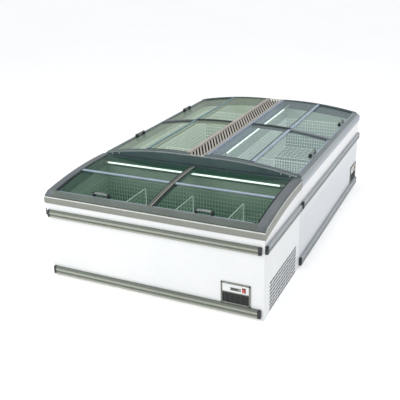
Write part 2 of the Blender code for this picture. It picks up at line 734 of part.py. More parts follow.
def head_end_louvre():
    """Vented plate flush in the casing's right end, held by a wider backing inside the sheet."""
    name = "head_end_louvre"
    face = HEAD.half
    behind = face - SKIN
    plate = blocks(name, [((behind - LOUVRE_PLATE, LOUVRE_Y[0] + GAP, LOUVRE_Z[0] + GAP),
                           (face, LOUVRE_Y[1] - GAP, LOUVRE_Z[1] - GAP))], "white_paint")
    backing = blocks(name + "_backing", [
        ((behind - LOUVRE_BACKING_DEPTH, LOUVRE_Y[0] - LOUVRE_BACKING, LOUVRE_Z[0] - LOUVRE_BACKING),
         (behind - GAP, LOUVRE_Y[1] + LOUVRE_BACKING, LOUVRE_Z[1] + LOUVRE_BACKING))])
    slot_width, slot_height = LOUVRE_SLOT
    pitch = (LOUVRE_Y[1] - LOUVRE_Y[0] - LOUVRE_END_MARGIN) / LOUVRE_COLUMNS
    slots = []
    for row in range(LOUVRE_ROWS):
        height = LOUVRE_Z[0] + LOUVRE_MARGIN[1] + row * LOUVRE_ROW_PITCH
        for column in range(LOUVRE_COLUMNS):
            start = LOUVRE_Y[0] + LOUVRE_MARGIN[0] + column * pitch
            slots.append(((face - END_WALL / 2, start, height),
                          (face + DEEP, start + slot_width, height + slot_height)))
    own(HEAD, plate)
    add(plate, backing)
    cut(plate, blocks(name + "_slots", slots))


def gable_panel():
    """Arched sheet that closes the side cabinets' near ends above the head."""
    half_width = HEAD_LENGTH / 2
    corner = RIGHT.crown(CHAMFER_END_Y) - CHAMFER_START_DROP + GABLE_DROP
    rise = [(0.0, corner), (CHAMFER_END_Y, RIGHT.crown(CHAMFER_END_Y, GABLE_CHAMFER_DROP))]
    rise += [(y, RIGHT.crown(y, GABLE_DROP)) for y in steps_between(SHELF_FRONT_Y, RIGHT.crest_y, ARC_STEPS)]
    arch = [(y - half_width, z) for y, z in rise] + [(half_width - y, z) for y, z in reversed(rise)]
    outline = [(half_width, GABLE_BOTTOM), (-half_width, GABLE_BOTTOM)] + arch
    gable = prism("gable_panel", outline, 0.0, GABLE_THICKNESS, "slate")
    gable.rotation_euler = Euler((0.0, 0.0, QUARTER_TURN))
    gable.location = (0.0, GABLE_Y, 0.0)


def centre_grille():
    """Slotted channel over the gap between the side cabinets."""
    half = GRILLE_HALF - GAP
    low = GRILLE_TOP - GRILLE_FLANGE
    inner = half - GRILLE_SHEET
    under = GRILLE_TOP - GRILLE_SHEET
    outline = [(-half, low), (-half, GRILLE_TOP), (half, GRILLE_TOP), (half, low), (inner, low),
               (inner, under), (-inner, under), (-inner, low)]
    reach = SIDE_LENGTH / 2 - GAP
    grille = prism("centre_grille", outline, -reach, reach, "tan")
    first, last = GRILLE_SLOT_EDGES
    lean = (last - first) * GRILLE_SLANT
    pitch = (SIDE_LENGTH - 2 * GRILLE_END_MARGIN) / GRILLE_SLOTS
    limit = SIDE_LENGTH / 2 - GRILLE_END_MARGIN
    slots = []
    for slot in range(-math.ceil(lean / pitch), GRILLE_SLOTS):
        start = (slot + 0.25) * pitch - limit
        slant = [(start, first), (start + pitch / 2, first), (start + pitch / 2 + lean, last),
                 (start + lean, last)]
        plan = keep_beyond(slant, -limit)
        plan = [(-x, y) for x, y in keep_beyond([(-x, y) for x, y in plan], -limit)]
        run = [x for x, y in plan]
        if len(plan) > 2 and max(run) - min(run) > pitch / 2:
            slots.append(plan)
    cutter = plates("centre_grille_slots", slots, low, TALL)
    for thing in (grille, cutter):
        thing.rotation_euler = Euler((0.0, 0.0, QUARTER_TURN))
        thing.location = (0.0, SIDE_MIDDLE_Y, 0.0)
    cut(grille, cutter)


def build_cabinet(cabinet):
    cabinet.empty = bpy.data.objects.new(cabinet.name + "_cabinet", None)
    PARTS.objects.link(cabinet.empty)
    cabinet.empty.location = (*cabinet.place, 0.0)
    cabinet.empty.rotation_euler = Euler((0.0, 0.0, cabinet.turn))
    outer_casing(cabinet)
    insulation(cabinet)
    inner_liner(cabinet)
    top_frame(cabinet)
    for side in ("left", "right"):
        front_lid(cabinet, side)
        lid_handle(cabinet, side)
        rear_pane(cabinet, side)
    lamp(cabinet)
    control_panel(cabinet)
    power_switch(cabinet)
    condensing_unit(cabinet)
    for place, x in cabinet.dividers.items():
        wire_divider(cabinet, place, x)
    bumper_rails(cabinet)


for unit in (HEAD, LEFT, RIGHT):
    build_cabinet(unit)
head_end_rails()
head_end_louvre()
gable_panel()
centre_grille()
bpy.context.view_layer.update()
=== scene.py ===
"""Finished look of the supermarket island freezer, laid over its CAD frame."""
import json
import math

import bmesh
import bpy
from mathutils import Matrix, Vector


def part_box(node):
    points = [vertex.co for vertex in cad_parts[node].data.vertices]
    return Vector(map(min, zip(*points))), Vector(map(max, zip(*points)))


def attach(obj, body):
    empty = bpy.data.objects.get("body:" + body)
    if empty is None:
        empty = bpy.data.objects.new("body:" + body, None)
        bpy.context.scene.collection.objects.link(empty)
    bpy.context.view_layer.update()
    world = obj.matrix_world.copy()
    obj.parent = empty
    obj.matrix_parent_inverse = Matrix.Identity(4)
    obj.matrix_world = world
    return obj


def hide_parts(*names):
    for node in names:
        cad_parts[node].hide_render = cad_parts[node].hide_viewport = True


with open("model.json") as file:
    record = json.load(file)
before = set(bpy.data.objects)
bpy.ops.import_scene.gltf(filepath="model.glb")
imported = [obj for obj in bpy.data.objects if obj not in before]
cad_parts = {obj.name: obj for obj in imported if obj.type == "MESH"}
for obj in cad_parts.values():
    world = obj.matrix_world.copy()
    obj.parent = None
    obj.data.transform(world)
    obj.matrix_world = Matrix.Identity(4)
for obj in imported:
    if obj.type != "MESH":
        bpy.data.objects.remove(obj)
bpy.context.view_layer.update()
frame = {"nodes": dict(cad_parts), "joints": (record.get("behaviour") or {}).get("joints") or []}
SCENE = bpy.context.scene
FIXED = "cabinets"

# ------------------------------------------------------------------ measures shared with the CAD

FACE = -0.008                   # front of the fascias and the control panels
BAND_REAR = 0.036               # where the sloping front band meets the crown
BAND_DROP, BAND_RISE, BAND_RUN = 0.042, 0.039, 0.044
RIM_RADIUS, RIM_CREST_Y = 4.70, 0.850
SHELF_END_HEAD, SHELF_END_SIDE = 0.066, 0.050
REAR_RAIL_HEAD, REAR_RAIL_SIDE = 0.052, 0.034


class Cabinet:
    """A cabinet's place and its curved top, read from the CAD frame.

    Local x runs along the cabinet, and local y from its front to its rear.
    """

    def __init__(self, name, turn):
        self.name = name
        low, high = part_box(name + "_outer_casing")
        frame_low, frame_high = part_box(name + "_top_frame")
        is_head = turn == 0
        along, across = (0, 1) if is_head else (1, 0)
        self.half = (high[along] - low[along]) / 2
        self.depth = high[across] - low[across]
        self.over = (frame_high[along] - frame_low[along]) / 2 - self.half
        if is_head:
            place = Vector(((high.x + low.x) / 2, low.y, 0))
        else:
            place = Vector((high.x if turn > 0 else low.x, (high.y + low.y) / 2, 0))
        self.matrix = Matrix.Translation(place) @ Matrix.Rotation(math.radians(turn), 4, "Z")
        joint = next(j for j in frame["joints"] if j["name"] == name + "_lid_left_slide")
        axis = self.matrix.inverted() @ Vector(joint["pos_m"])
        self.crest_y = axis.y
        self.crest = frame_high.z
        self.centre_z = axis.z
        self.radius = self.crest - axis.z
        self.under_top = high.z
        self.shelf_end = SHELF_END_HEAD if is_head else SHELF_END_SIDE
        self.rear_rail = REAR_RAIL_HEAD if is_head else REAR_RAIL_SIDE

    def crown(self, y, drop=0.0):
        """Height of the curved top at y, or of a curve parallel to it."""
        radius = self.radius - drop
        return self.centre_z + math.sqrt(radius ** 2 - (y - self.crest_y) ** 2)

    def rim(self, y):
        """Height of the casing's curved upper edge at y."""
        rise = math.sqrt(RIM_RADIUS ** 2 - (max(y, 0.0) - RIM_CREST_Y) ** 2)
        return self.under_top - RIM_RADIUS + rise

    def slope(self, y):
        """Height of the sloping front band at y, under the crown near the front edge."""
        return self.crown(BAND_REAR) - BAND_DROP + BAND_RISE * (y - FACE) / BAND_RUN

    def top(self, y):
        return min(self.slope(y), self.crown(y)) if y < BAND_REAR else self.crown(y)

    def local_box(self, node):
        """Corners of a node's box in the cabinet's own frame."""
        inverse = self.matrix.inverted()
        a, b = (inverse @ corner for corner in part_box(node))
        pairs = list(zip(a, b))
        return Vector([min(pair) for pair in pairs]), Vector([max(pair) for pair in pairs])


HEAD = Cabinet("head", 0)
LEFT = Cabinet("left_side", -90)
RIGHT = Cabinet("right_side", 90)
CABINETS = (HEAD, LEFT, RIGHT)
SIDES = (("left", -1), ("right", 1))
SHELF = 0.0185                  # depth of the ledge that the lids and panes lie on
RECESS_FRONT = 0.044
TUB_END = 0.066
TUB_FRONT, TUB_REAR = 0.066, 0.056
FLOOR_Z, RAISED_FLOOR_Z = 0.096, 0.366
STEP_RUN = 0.440                # length of the raised floor over the machine compartment
MESH_PITCH = 0.027
MESH_ROW = 0.036
FLOOR_PITCH = 0.05
MULLION = 0.018                 # half the width of the bar between the bays
UPPER_RAIL, LOWER_RAIL = (0.533, 0.594), (0.020, 0.0885)
RAIL_FACE, RAIL_BACK, RAIL_CAP = -0.022, -0.0003, 0.024
SWITCH_X, SWITCH_Z = 0.066, 0.221
DUST = "#b9bab4"

# ------------------------------------------------------------------ materials


def linear(code):
    """Linear colour from a hex code."""
    channels = [int(code[i:i + 2], 16) / 255 for i in (1, 3, 5)]
    return tuple((c / 12.92 if c <= 0.04045 else ((c + 0.055) / 1.055) ** 2.4) for c in channels) + (1.0,)


def surface(name, colour, second=None, grain=6.0, rough=(0.35, 0.5), bump=0.05, bump_scale=300.0,
            metallic=0.0, coat=0.0, stretch=None, deep=None, alpha=None, glow=None, dust=0.0):
    """Moulded, painted or drawn surface: colour drift, grain in the gloss, and a shallow bump."""
    made = bpy.data.materials.new(name)
    made.use_nodes = True
    tree = made.node_tree

    def fill(node, **inputs):
        """Sets inputs of a node, each to a value or from another node's socket."""
        for key, value in inputs.items():
            socket = node.inputs[key.replace("_", " ")]
            if isinstance(value, bpy.types.NodeSocket):
                tree.links.new(value, socket)
            else:
                socket.default_value = value
        return node

    def noise(**inputs):
        return fill(tree.nodes.new("ShaderNodeTexNoise"), **inputs).outputs["Fac"]

    def remap(**inputs):
        return fill(tree.nodes.new("ShaderNodeMapRange"), **inputs).outputs["Result"]

    def mix(**inputs):
        node = tree.nodes.new("ShaderNodeMix")
        node.data_type = "RGBA"
        return fill(node, **inputs).outputs["Result"]

    place = tree.nodes.new("ShaderNodeTexCoord").outputs["Object"]
    scale = fill(tree.nodes.new("ShaderNodeMapping"), Vector=place, Scale=stretch or (1, 1, 1))
    grained = scale.outputs["Vector"]
    drift = remap(Value=noise(Vector=grained, Scale=grain, Detail=5.0), From_Min=0.35, From_Max=0.65)
    paint = mix(Factor=drift, A=linear(colour), B=linear(second or colour))
    if dust:
        fine = noise(Vector=place, Scale=45.0, Detail=8.0)
        fleck = remap(Value=fine, From_Min=0.55, From_Max=0.75, To_Max=dust)
        paint = mix(Factor=fleck, A=paint, B=linear(DUST))
    # A darker colour mixed in towards the bottom, by height; on the liners and the side cabinets' white sheet
    # it is painted shade.
    if deep:
        low_colour, low, high = deep
        height = fill(tree.nodes.new("ShaderNodeSeparateXYZ"), Vector=place).outputs["Z"]
        paint = mix(Factor=remap(Value=height, From_Min=low, From_Max=high), A=linear(low_colour), B=paint)
    gloss = noise(Vector=grained, Scale=bump_scale * 0.2, Detail=4.0)
    pits = noise(Vector=grained, Scale=bump_scale, Detail=3.0)
    relief = fill(tree.nodes.new("ShaderNodeBump"), Strength=bump, Distance=0.002, Height=pits)
    shader = fill(tree.nodes["Principled BSDF"], Base_Color=paint, Metallic=metallic, Coat_Weight=coat,
                  Roughness=remap(Value=gloss, To_Min=rough[0], To_Max=rough[1]),
                  Normal=relief.outputs["Normal"], Coat_Roughness=0.15)
    if alpha is not None:
        fill(shader, Alpha=alpha)
    if glow:
        fill(shader, Emission_Color=linear(glow[0]), Emission_Strength=glow[1])
    made.diffuse_color = linear(colour)
    return made


# settings that several materials share
SHEET = dict(grain=1.5, rough=(0.28, 0.42), bump=0.03, bump_scale=500, coat=0.3, dust=0.06)
LINING = dict(grain=2.5, rough=(0.3, 0.5), bump=0.12, bump_scale=180)
EXTRUDED = dict(grain=3, rough=(0.32, 0.48), bump=0.06, bump_scale=420, dust=0.08)
MOULDED = dict(grain=4, bump=0.06, bump_scale=420)
EDGING = dict(grain=12, rough=(0.22, 0.4), bump=0.04, metallic=0.2)
BUMPER = dict(grain=5, bump=0.08, bump_scale=420, stretch=(0.2, 0.2, 1))
WELDED = dict(grain=40, rough=(0.3, 0.45), bump_scale=500, coat=0.2)
HARD_BLACK = dict(grain=25, rough=(0.38, 0.55), bump=0.12, bump_scale=500)

WHITE = surface("white_sheet", "#eff0f0", "#e9ebec", **SHEET)
# The side cabinets' copy of the white sheet turns grey towards the bottom: painted shade.
WHITE_SIDE = surface("white_sheet_side", "#f1f2f3", "#eaecee", deep=("#d3d7dc", 0.42, 0.6), **SHEET)
FOAM = surface("foam", "#dcc98f", "#cdb777", grain=30, rough=(0.85, 0.95), bump=0.5, bump_scale=250)
# Both liners are one white sheet. Their green tone is painted light through the green glass, and the darker
# colour towards the tub's floor is painted shade. The first one's faint glow is painted light, and the head's
# darker copy is painted shade of its dimmer tub.
LINER = surface("liner_sheet", "#dbe8dd", "#cedcd1", dust=0.1, deep=("#6f8882", 0.3, 0.8),
                glow=("#a9c0b2", 0.03), **LINING)
LINER_HEAD = surface("liner_sheet_head", "#bccdbf", "#aec0b2", dust=0.08, deep=("#526a5e", 0.42, 0.6),
                     **LINING)
FASCIA = surface("fascia_grey", "#8d9087", "#83867d", stretch=(0.15, 1, 1), **EXTRUDED)
FASCIA_SIDE = surface("fascia_blue_grey", "#b0b7bd", "#a6adb4", stretch=(1, 0.15, 1), **EXTRUDED)
SLOPE = surface("slope_grey", "#616a64", "#565f59", dust=0.08, **MOULDED)
SLOPE_SIDE = surface("slope_blue_grey", "#868e92", "#7b8387", dust=0.08, **MOULDED)
FRAME = surface("frame_grey", "#646b6e", "#5a6165", rough=(0.3, 0.46), dust=0.08, **MOULDED)
FRAME_LIGHT = surface("frame_light", "#7b8488", "#71797d", rough=(0.3, 0.45), **MOULDED)
TRIM_BLUE = surface("blue_grey_trim", "#aebdcd", "#9fafc0", **EDGING)
TRIM_TEAL = surface("teal_trim", "#5f8c96", "#547f89", **EDGING)
FRAME_BLUE = surface("frame_blue_grey", "#76849a", "#6b798e", rough=(0.28, 0.42), **MOULDED)
FRAME_TEAL = surface("frame_teal_grey", "#4d5b5f", "#445256", rough=(0.3, 0.46), dust=0.08, **MOULDED)
# Grey-brown of the grille's folded lips below its bars: painted shade in the slots.
SHADED_LIP = surface("slot_lip_shade", "#7a7972", "#6b6a63", grain=20, rough=(0.6, 0.75))
# Near-white of the head frame's beads: the bright line along the frame's top edges, a painted highlight.
HIGHLIGHT_BEAD = surface("bead_highlight", "#dddfd9", "#d0d3cc", grain=14, rough=(0.25, 0.4), bump=0.04)
LAMP_HOLDER = surface("lamp_holder", "#2c6148", "#255640", grain=12, rough=(0.4, 0.55))
BLACK = surface("black_moulding", "#1d2124", "#2b3033", **HARD_BLACK)
SEAL = surface("black_seal", "#23282a", "#30383a", grain=40, rough=(0.5, 0.65), bump=0.1,
               bump_scale=600)
SEAL.node_tree.nodes["Principled BSDF"].inputs["Specular IOR Level"].default_value = 0.15
# One grey bumper in two sets of tones, set by which way each rail faces: painted light and shade. Its upper
# face is darker than the lower on the head's front rails and lighter on the others.
RAIL = surface("rail_grey", "#a5a79b", "#999b8f", rough=(0.4, 0.55), dust=0.15, **BUMPER)
RAIL_SIDE = surface("rail_blue_grey", "#a9afb3", "#9da3a8", rough=(0.4, 0.55), dust=0.12, **BUMPER)
RAIL_TOP = surface("rail_grey_upper", "#6f776c", "#656d63", rough=(0.45, 0.6), dust=0.12, **BUMPER)
RAIL_TOP_SIDE = surface("rail_blue_grey_upper", "#b3b9bd", "#a7adb2", rough=(0.45, 0.6), dust=0.12,
                        **BUMPER)
RAIL_DARK = surface("rail_groove", "#6a7267", "#5e665b", grain=15, rough=(0.5, 0.65), bump=0.08,
                    bump_scale=420)
SLATE = surface("slate_sheet", "#556a6b", "#4a5e60", grain=2.5, rough=(0.32, 0.5), bump=0.06,
                bump_scale=380, dust=0.08, deep=("#3c4d53", 0.74, 0.81))
SLATE_DEEP = surface("slate_deep", "#36474c", "#2e3e43", grain=4, bump=0.06, bump_scale=380)
SLATE_RIM = surface("slate_rim", "#97a19f", "#879391", grain=10, rough=(0.3, 0.45), bump=0.06,
                    bump_scale=380)
TAN = surface("tan_sheet", "#b6b0a7", "#a9a39a", grain=5, rough=(0.4, 0.55), bump=0.08, bump_scale=350,
              dust=0.12)
# The wires are white. Their glow is painted light that lifts them out of the tub's shade; the head's green,
# dimmer copy is painted light through the green glass and painted shade of its tub.
WIRE = surface("white_wire", "#eef6f1", "#e1ebe5", glow=("#e8f3ee", 0.4), **WELDED)
WIRE_HEAD = surface("white_wire_head", "#c4dcc8", "#b5cdb9", glow=("#c4dcc8", 0.07), **WELDED)
HANDLE = surface("handle_bar", "#8a9290", "#7a8381", grain=30, rough=(0.25, 0.4), bump=0.04,
                 bump_scale=400, metallic=0.5)
MACHINE = surface("machine_metal", "#2a2c2e", "#1c1e20", grain=20, rough=(0.4, 0.6), bump=0.1,
                  metallic=0.4, dust=0.3)
LAMP = surface("lamp_tube", "#f4fffa", "#e9fff4", grain=5, rough=(0.3, 0.4), bump=0.02,
               glow=("#eafff4", 1.6))
LAMP_CAP = surface("lamp_cap", "#a6ada0", "#989f92", grain=30, bump=0.06, bump_scale=400)
PANEL = surface("panel_grey", "#83867e", "#73766e", grain=15, rough=(0.4, 0.55), bump=0.15,
                bump_scale=600)
RIB = surface("panel_rib", "#3a3d3d", "#303333", **HARD_BLACK)
PLATE = surface("panel_plate", "#eceeee", "#e0e3e3", grain=10, rough=(0.3, 0.42), bump=0.04,
                bump_scale=500)
MESH_BLACK = surface("mesh_black", "#181b1c", "#26292a", grain=60, rough=(0.45, 0.6), bump=0.1,
                     bump_scale=600)
SHADOW = surface("louvre_shadow", "#a3a7ac", "#94989d", grain=20, rough=(0.6, 0.75))
DISPLAY = surface("display_window", "#39413d", "#454f49", grain=12, rough=(0.12, 0.2), bump=0.01,
                  bump_scale=200, coat=0.6)
RED = surface("switch_red", "#c9352b", "#b42a22", grain=30, rough=(0.22, 0.35), bump=0.04,
              bump_scale=500, coat=0.4)
MARK = surface("switch_mark", "#f2efe9", "#e6e2da", grain=60, rough=(0.4, 0.5), bump=0.03,
               bump_scale=500)
SCREW = surface("screw_head", "#e6eaea", "#d3d8d9", grain=90, rough=(0.2, 0.38), bump=0.08,
                bump_scale=700, metallic=0.25)


def glass(name, colour, alpha):
    made = surface(name, colour, grain=1.2, rough=(0.02, 0.06), bump=0.0, bump_scale=40, alpha=alpha)
    made.surface_render_method = "BLENDED"
    return made


# One green glass in three tones, each set to how its cabinet's glass looks in the light: painted light and
# shade. The head's dark copy is painted shade of its tub under the glass.
GLASS = glass("green_glass", "#a3b5b8", 0.22)
GLASS_LEFT = glass("green_glass_left", "#b3c6a8", 0.24)
GLASS_HEAD = glass("green_glass_head", "#3c6b54", 0.22)

# ------------------------------------------------------------------ mesh tools


def circle(radius, sides):
    """Points of a circle about the origin."""
    angles = [2 * math.pi * k / sides for k in range(sides)]
    return [(radius * math.cos(a), radius * math.sin(a)) for a in angles]


class Form:
    """Collects shapes in a cabinet's own frame and turns them into one piece."""

    def __init__(self):
        self.bm = bmesh.new()

    def loft(self, rings, caps=True):
        rows = [[self.bm.verts.new(p) for p in ring] for ring in rings]
        count = len(rows[0])
        for a, b in zip(rows, rows[1:]):
            for i in range(count):
                j = (i + 1) % count
                self.bm.faces.new((a[i], a[j], b[j], b[i]))
        if caps:
            self.bm.faces.new(list(reversed(rows[0])))
            self.bm.faces.new(rows[-1])

    def prism_x(self, outline, start, end):
        self.loft([[(x, y, z) for y, z in outline] for x in (start, end)])

    def box(self, low, high, bevel=0.0):
        size = Vector(high) - Vector(low)
        middle = (Vector(high) + Vector(low)) / 2
        place = Matrix.Translation(middle) @ Matrix.Diagonal((*size, 1))
        made = bmesh.ops.create_cube(self.bm, size=1.0, matrix=place)
        if bevel:
            edges = {e for v in made["verts"] for e in v.link_edges}
            bmesh.ops.bevel(self.bm, geom=list(edges), offset=bevel, segments=2, affect="EDGES", profile=0.5)

    def rod(self, start, end, radius, sides=6, end_radius=None):
        start = Vector(start)
        end = Vector(end)
        span = end - start
        turn = span.to_track_quat("Z", "Y").to_matrix().to_4x4()
        bmesh.ops.create_cone(self.bm, cap_ends=True, segments=sides, radius1=radius,
                              radius2=radius if end_radius is None else end_radius, depth=span.length,
                              matrix=Matrix.Translation((start + end) / 2) @ turn)

    def path(self, points, radius, sides=10):
        points = [Vector(p) for p in points]
        rings = []
        for i, point in enumerate(points):
            before = points[max(i - 1, 0)]
            after = points[min(i + 1, len(points) - 1)]
            turn = (after - before).normalized().to_track_quat("Z", "Y").to_matrix()
            rings.append([point + turn @ Vector((u, v, 0)) for u, v in circle(radius, sides)])
        self.loft(rings)

    def make(self, name, cabinet, material, body=FIXED, replaces=(), smooth=35, slot=None):
        bmesh.ops.recalc_face_normals(self.bm, faces=self.bm.faces)
        if cabinet is not None:
            bmesh.ops.transform(self.bm, matrix=cabinet.matrix, verts=self.bm.verts)
        mesh = bpy.data.meshes.new(name)
        self.bm.to_mesh(mesh)
        self.bm.free()
        mesh.shade_smooth()
        mesh.set_sharp_from_angle(angle=math.radians(smooth))
        made = bpy.data.objects.new(name, mesh)
        SCENE.collection.objects.link(made)
        mesh.materials.append(material)
        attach(made, body)
        if replaces:
            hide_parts(*replaces)
        return made


def spread(start, end, count):
    return [start + (end - start) * i / count for i in range(count + 1)]


def dress(node, material):
    """A CAD node whose shape stays, with its finished material."""
    mesh = frame["nodes"][node].data
    if mesh.materials:
        for i in range(len(mesh.materials)):
            mesh.materials[i] = material
    else:
        mesh.materials.append(material)


# ------------------------------------------------------------------ top frame


def bead_drop(y):
    """How far below the top of the head's end member its bead runs; the bead's near-white is a painted
    highlight.
    """
    return 0.004 + 0.019 * min(1.0, y / 0.060)


def end_rail(cab, sign):
    """Curved end member: outer face, rounded edge, flat band, then down to the lid ledge."""
    outer = cab.half + cab.over - (0.002 if cab is HEAD else 0.0)
    inner = cab.half - cab.shelf_end

    def ring(y):
        t = cab.top(y)
        low = cab.rim(y)
        section = [(outer - 0.004, low), (outer - 0.001, low + 0.001), (outer, low + 0.005),
                   (outer, t - 0.015), (outer - 0.0015, t - 0.009), (outer - 0.005, t - 0.005),
                   (outer - 0.012, t - 0.002), (outer - 0.022, t), (inner + 0.005, t),
                   (inner + 0.0015, t - 0.001), (inner, t - 0.004), (inner, t - SHELF),
                   (inner - 0.016, t - SHELF), (inner - 0.016, low)]
        return [(sign * x, y, z) for x, z in section]

    stations = [0.0045] + spread(0.012, 0.036, 3) + spread(0.050, cab.depth, 36)
    form = Form()
    form.loft([ring(y) for y in stations])
    return form


def top_frame(cab):
    name = cab.name
    is_head = cab is HEAD
    inner = cab.half - cab.shelf_end
    outer = cab.half + cab.over
    for side, sign in SIDES:
        end_rail(cab, sign).make(f"{name}_frame_end_{side}", cab, FRAME if is_head else FRAME_TEAL,
                                 smooth=30, slot="grey_moulding")
        if is_head:
            stations = [0.0045] + spread(0.012, 0.060, 5) + spread(0.080, cab.depth - 0.001, 34)
            cheek = Form()
            cheek.loft([[(sign * (outer - a), y, z) for a, z in
                         ((0.0018, cab.rim(y) + 0.0055), (0.0004, cab.rim(y) + 0.0062),
                          (0.0002, cab.rim(y) + 0.008), (0.0002, cab.top(y) - bead_drop(y) - 0.0042),
                          (0.0018, cab.top(y) - bead_drop(y) - 0.0040))]
                        for y in stations if cab.top(y) - bead_drop(y) - 0.006 > cab.rim(y) + 0.009])
            cheek.make(f"{name}_frame_cheek_{side}", cab, FASCIA, slot="grey_moulding")
            # bead along the top outer edge, near-white as a painted highlight
            bead = Form()
            bead.loft([[(sign * (outer - a), y, cab.top(y) - bead_drop(y) - d) for a, d in
                        ((0.0019, 0.0037), (0.0004, 0.0037), (0.0, 0.0025), (0.0, -0.0020), (0.0006, -0.0034),
                         (0.0019, -0.0037))] for y in stations])
            bead.make(f"{name}_frame_bead_{side}", cab, HIGHLIGHT_BEAD, slot="handle_metal")

    # fascia, with a white flange of the casing under it
    # on the side cabinets it also takes the foot of the sloping band
    front = Form()
    top_lip = cab.crown(0.040)
    fascia_top = cab.slope(FACE)
    foot = cab.rim(0) + (0.009 if is_head else 0.004)
    outline = [(0.0035, foot), (-0.006, foot), (FACE, foot + 0.002), (FACE, foot + 0.010),
               (-0.0068, foot + 0.0115), (-0.0068, foot + 0.0125), (FACE, foot + 0.0140)]
    if is_head:
        outline += [(FACE, fascia_top - 0.009), (-0.0060, fascia_top - 0.007), (0.0035, fascia_top - 0.001)]
    else:
        outline += [(FACE, fascia_top - 0.004), (-0.0065, fascia_top), (0.0135, cab.slope(0.0135) + 0.0014),
                    (0.0138, cab.slope(0.0138) - 0.0010)]
    front.prism_x(outline, -outer, outer)
    front.make(f"{name}_front_fascia", cab, FASCIA if is_head else FASCIA_SIDE,
               replaces=[f"{name}_top_frame"], slot="grey_moulding")
    flange = Form()
    flange.box((-cab.half, -0.0006, cab.rim(0) + 0.0002), (cab.half, 0.0034, foot - 0.0002))
    flange.make(f"{name}_casing_flange", cab, WHITE, slot="white_sheet")
    band_start = 0.0040 if is_head else 0.0142
    if is_head:
        # bead along the fascia's top edge, near-white as a painted highlight
        line = Form()
        line.prism_x([(-0.0055, fascia_top - 0.0068), (-0.0088, fascia_top - 0.0062),
                      (-0.0105, fascia_top - 0.0035), (-0.0098, fascia_top - 0.0005),
                      (-0.0070, fascia_top + 0.0012), (-0.0030, fascia_top + 0.0020),
                      (0.0030, fascia_top - 0.0005)], -outer + 0.001, outer - 0.001)
        line.make(f"{name}_front_bead", cab, HIGHLIGHT_BEAD, slot="handle_metal")
    band = Form()
    shelf_z = cab.crown(0.053, SHELF)
    rise = [(y, cab.slope(y) + 0.0012) for y in (band_start, 0.018, 0.026)]
    lip = [(0.034, cab.slope(0.034)), (0.0355, cab.slope(BAND_REAR) + 0.001), (0.037, top_lip - 0.001),
           (0.039, top_lip), (0.042, top_lip), (0.0437, top_lip - 0.002), (RECESS_FRONT, top_lip - 0.006)]
    ledge = [(RECESS_FRONT, shelf_z), (0.062, shelf_z), (0.062, cab.rim(0))]
    band.prism_x([(band_start, cab.rim(0))] + rise + lip + ledge, -inner - 0.0005, inner + 0.0005)
    band_paint = SLOPE if is_head else SLOPE_SIDE
    band.make(f"{name}_front_band", cab, band_paint, slot="grey_moulding")

    # the grille's flange lies on the left cabinet's rear rail, so that rail is a little lower there
    rear_in = cab.depth - cab.rear_rail
    flanged = cab is LEFT
    crest_end = cab.depth - (0.029 if flanged else 0.006)
    sink = 0.0016 if flanged else 0.0
    rear = Form()
    crest = [(y, cab.crown(y)) for y in spread(rear_in + 0.004, crest_end, 4)]
    if flanged:
        crest.append((crest_end + 0.0004, cab.crown(crest_end) - sink))
    rear.prism_x([(rear_in - 0.010, cab.rim(rear_in)), (rear_in - 0.010, cab.crown(rear_in, SHELF)),
                  (rear_in, cab.crown(rear_in, SHELF)), (rear_in, cab.crown(rear_in) - 0.005),
                  (rear_in + 0.0015, cab.crown(rear_in) - 0.001)] + crest
                 + [(cab.depth - 0.002, cab.crown(cab.depth) - 0.002),
                    (cab.depth, cab.crown(cab.depth) - 0.006), (cab.depth, cab.rim(cab.depth))],
                 -inner - 0.0005, inner + 0.0005)
    rear_paint = {HEAD: SLATE_DEEP, LEFT: TAN, RIGHT: FRAME_BLUE}[cab]
    rear.make(f"{name}_frame_rear", cab, rear_paint, slot="grey_moulding")
    if cab is RIGHT:
        strip = curved_slab(cab, -inner + 0.001, inner - 0.001, cab.depth - 0.0150, cab.depth - 0.0030,
                            -0.0006, 0.0012, steps=3)
        strip.make("right_side_rear_strip", cab, FASCIA_SIDE, slot="grey_moulding")
    if flanged:
        flange = Form()
        ys = spread(crest_end + 0.001, cab.depth, 3)
        flange.prism_x([(y, cab.crown(y)) for y in ys] + [(y, cab.crown(y) - 0.0014) for y in reversed(ys)],
                       -inner - 0.0005, inner + 0.0005)
        flange.make("centre_grille_flange", cab, TAN, slot="tan_sheet")

    mullion(cab, rear_in)

    # rounded front corners of the two bays, beside the end members
    radius = 0.030
    for side, sign in SIDES:
        corner = Form()
        arc = [(inner - radius + radius * math.sin(a), RECESS_FRONT + radius - radius * math.cos(a))
               for a in [math.radians(t) for t in range(0, 91, 10)]]
        plan = [(inner, RECESS_FRONT)] + list(reversed(arc))
        rings = [[(sign * x, y, cab.crown(y) - d) for x, y in plan] for d in (SHELF, 0.0015)]
        shrunk = [(inner, RECESS_FRONT)] + [(x + 0.0008, y - 0.0008) for x, y in reversed(arc)]
        rings.append([(sign * x, y, cab.crown(y) - 0.0003) for x, y in shrunk])
        corner.loft(rings)
        corner.make(f"{name}_bay_corner_{side}", cab, band_paint, slot="grey_moulding")


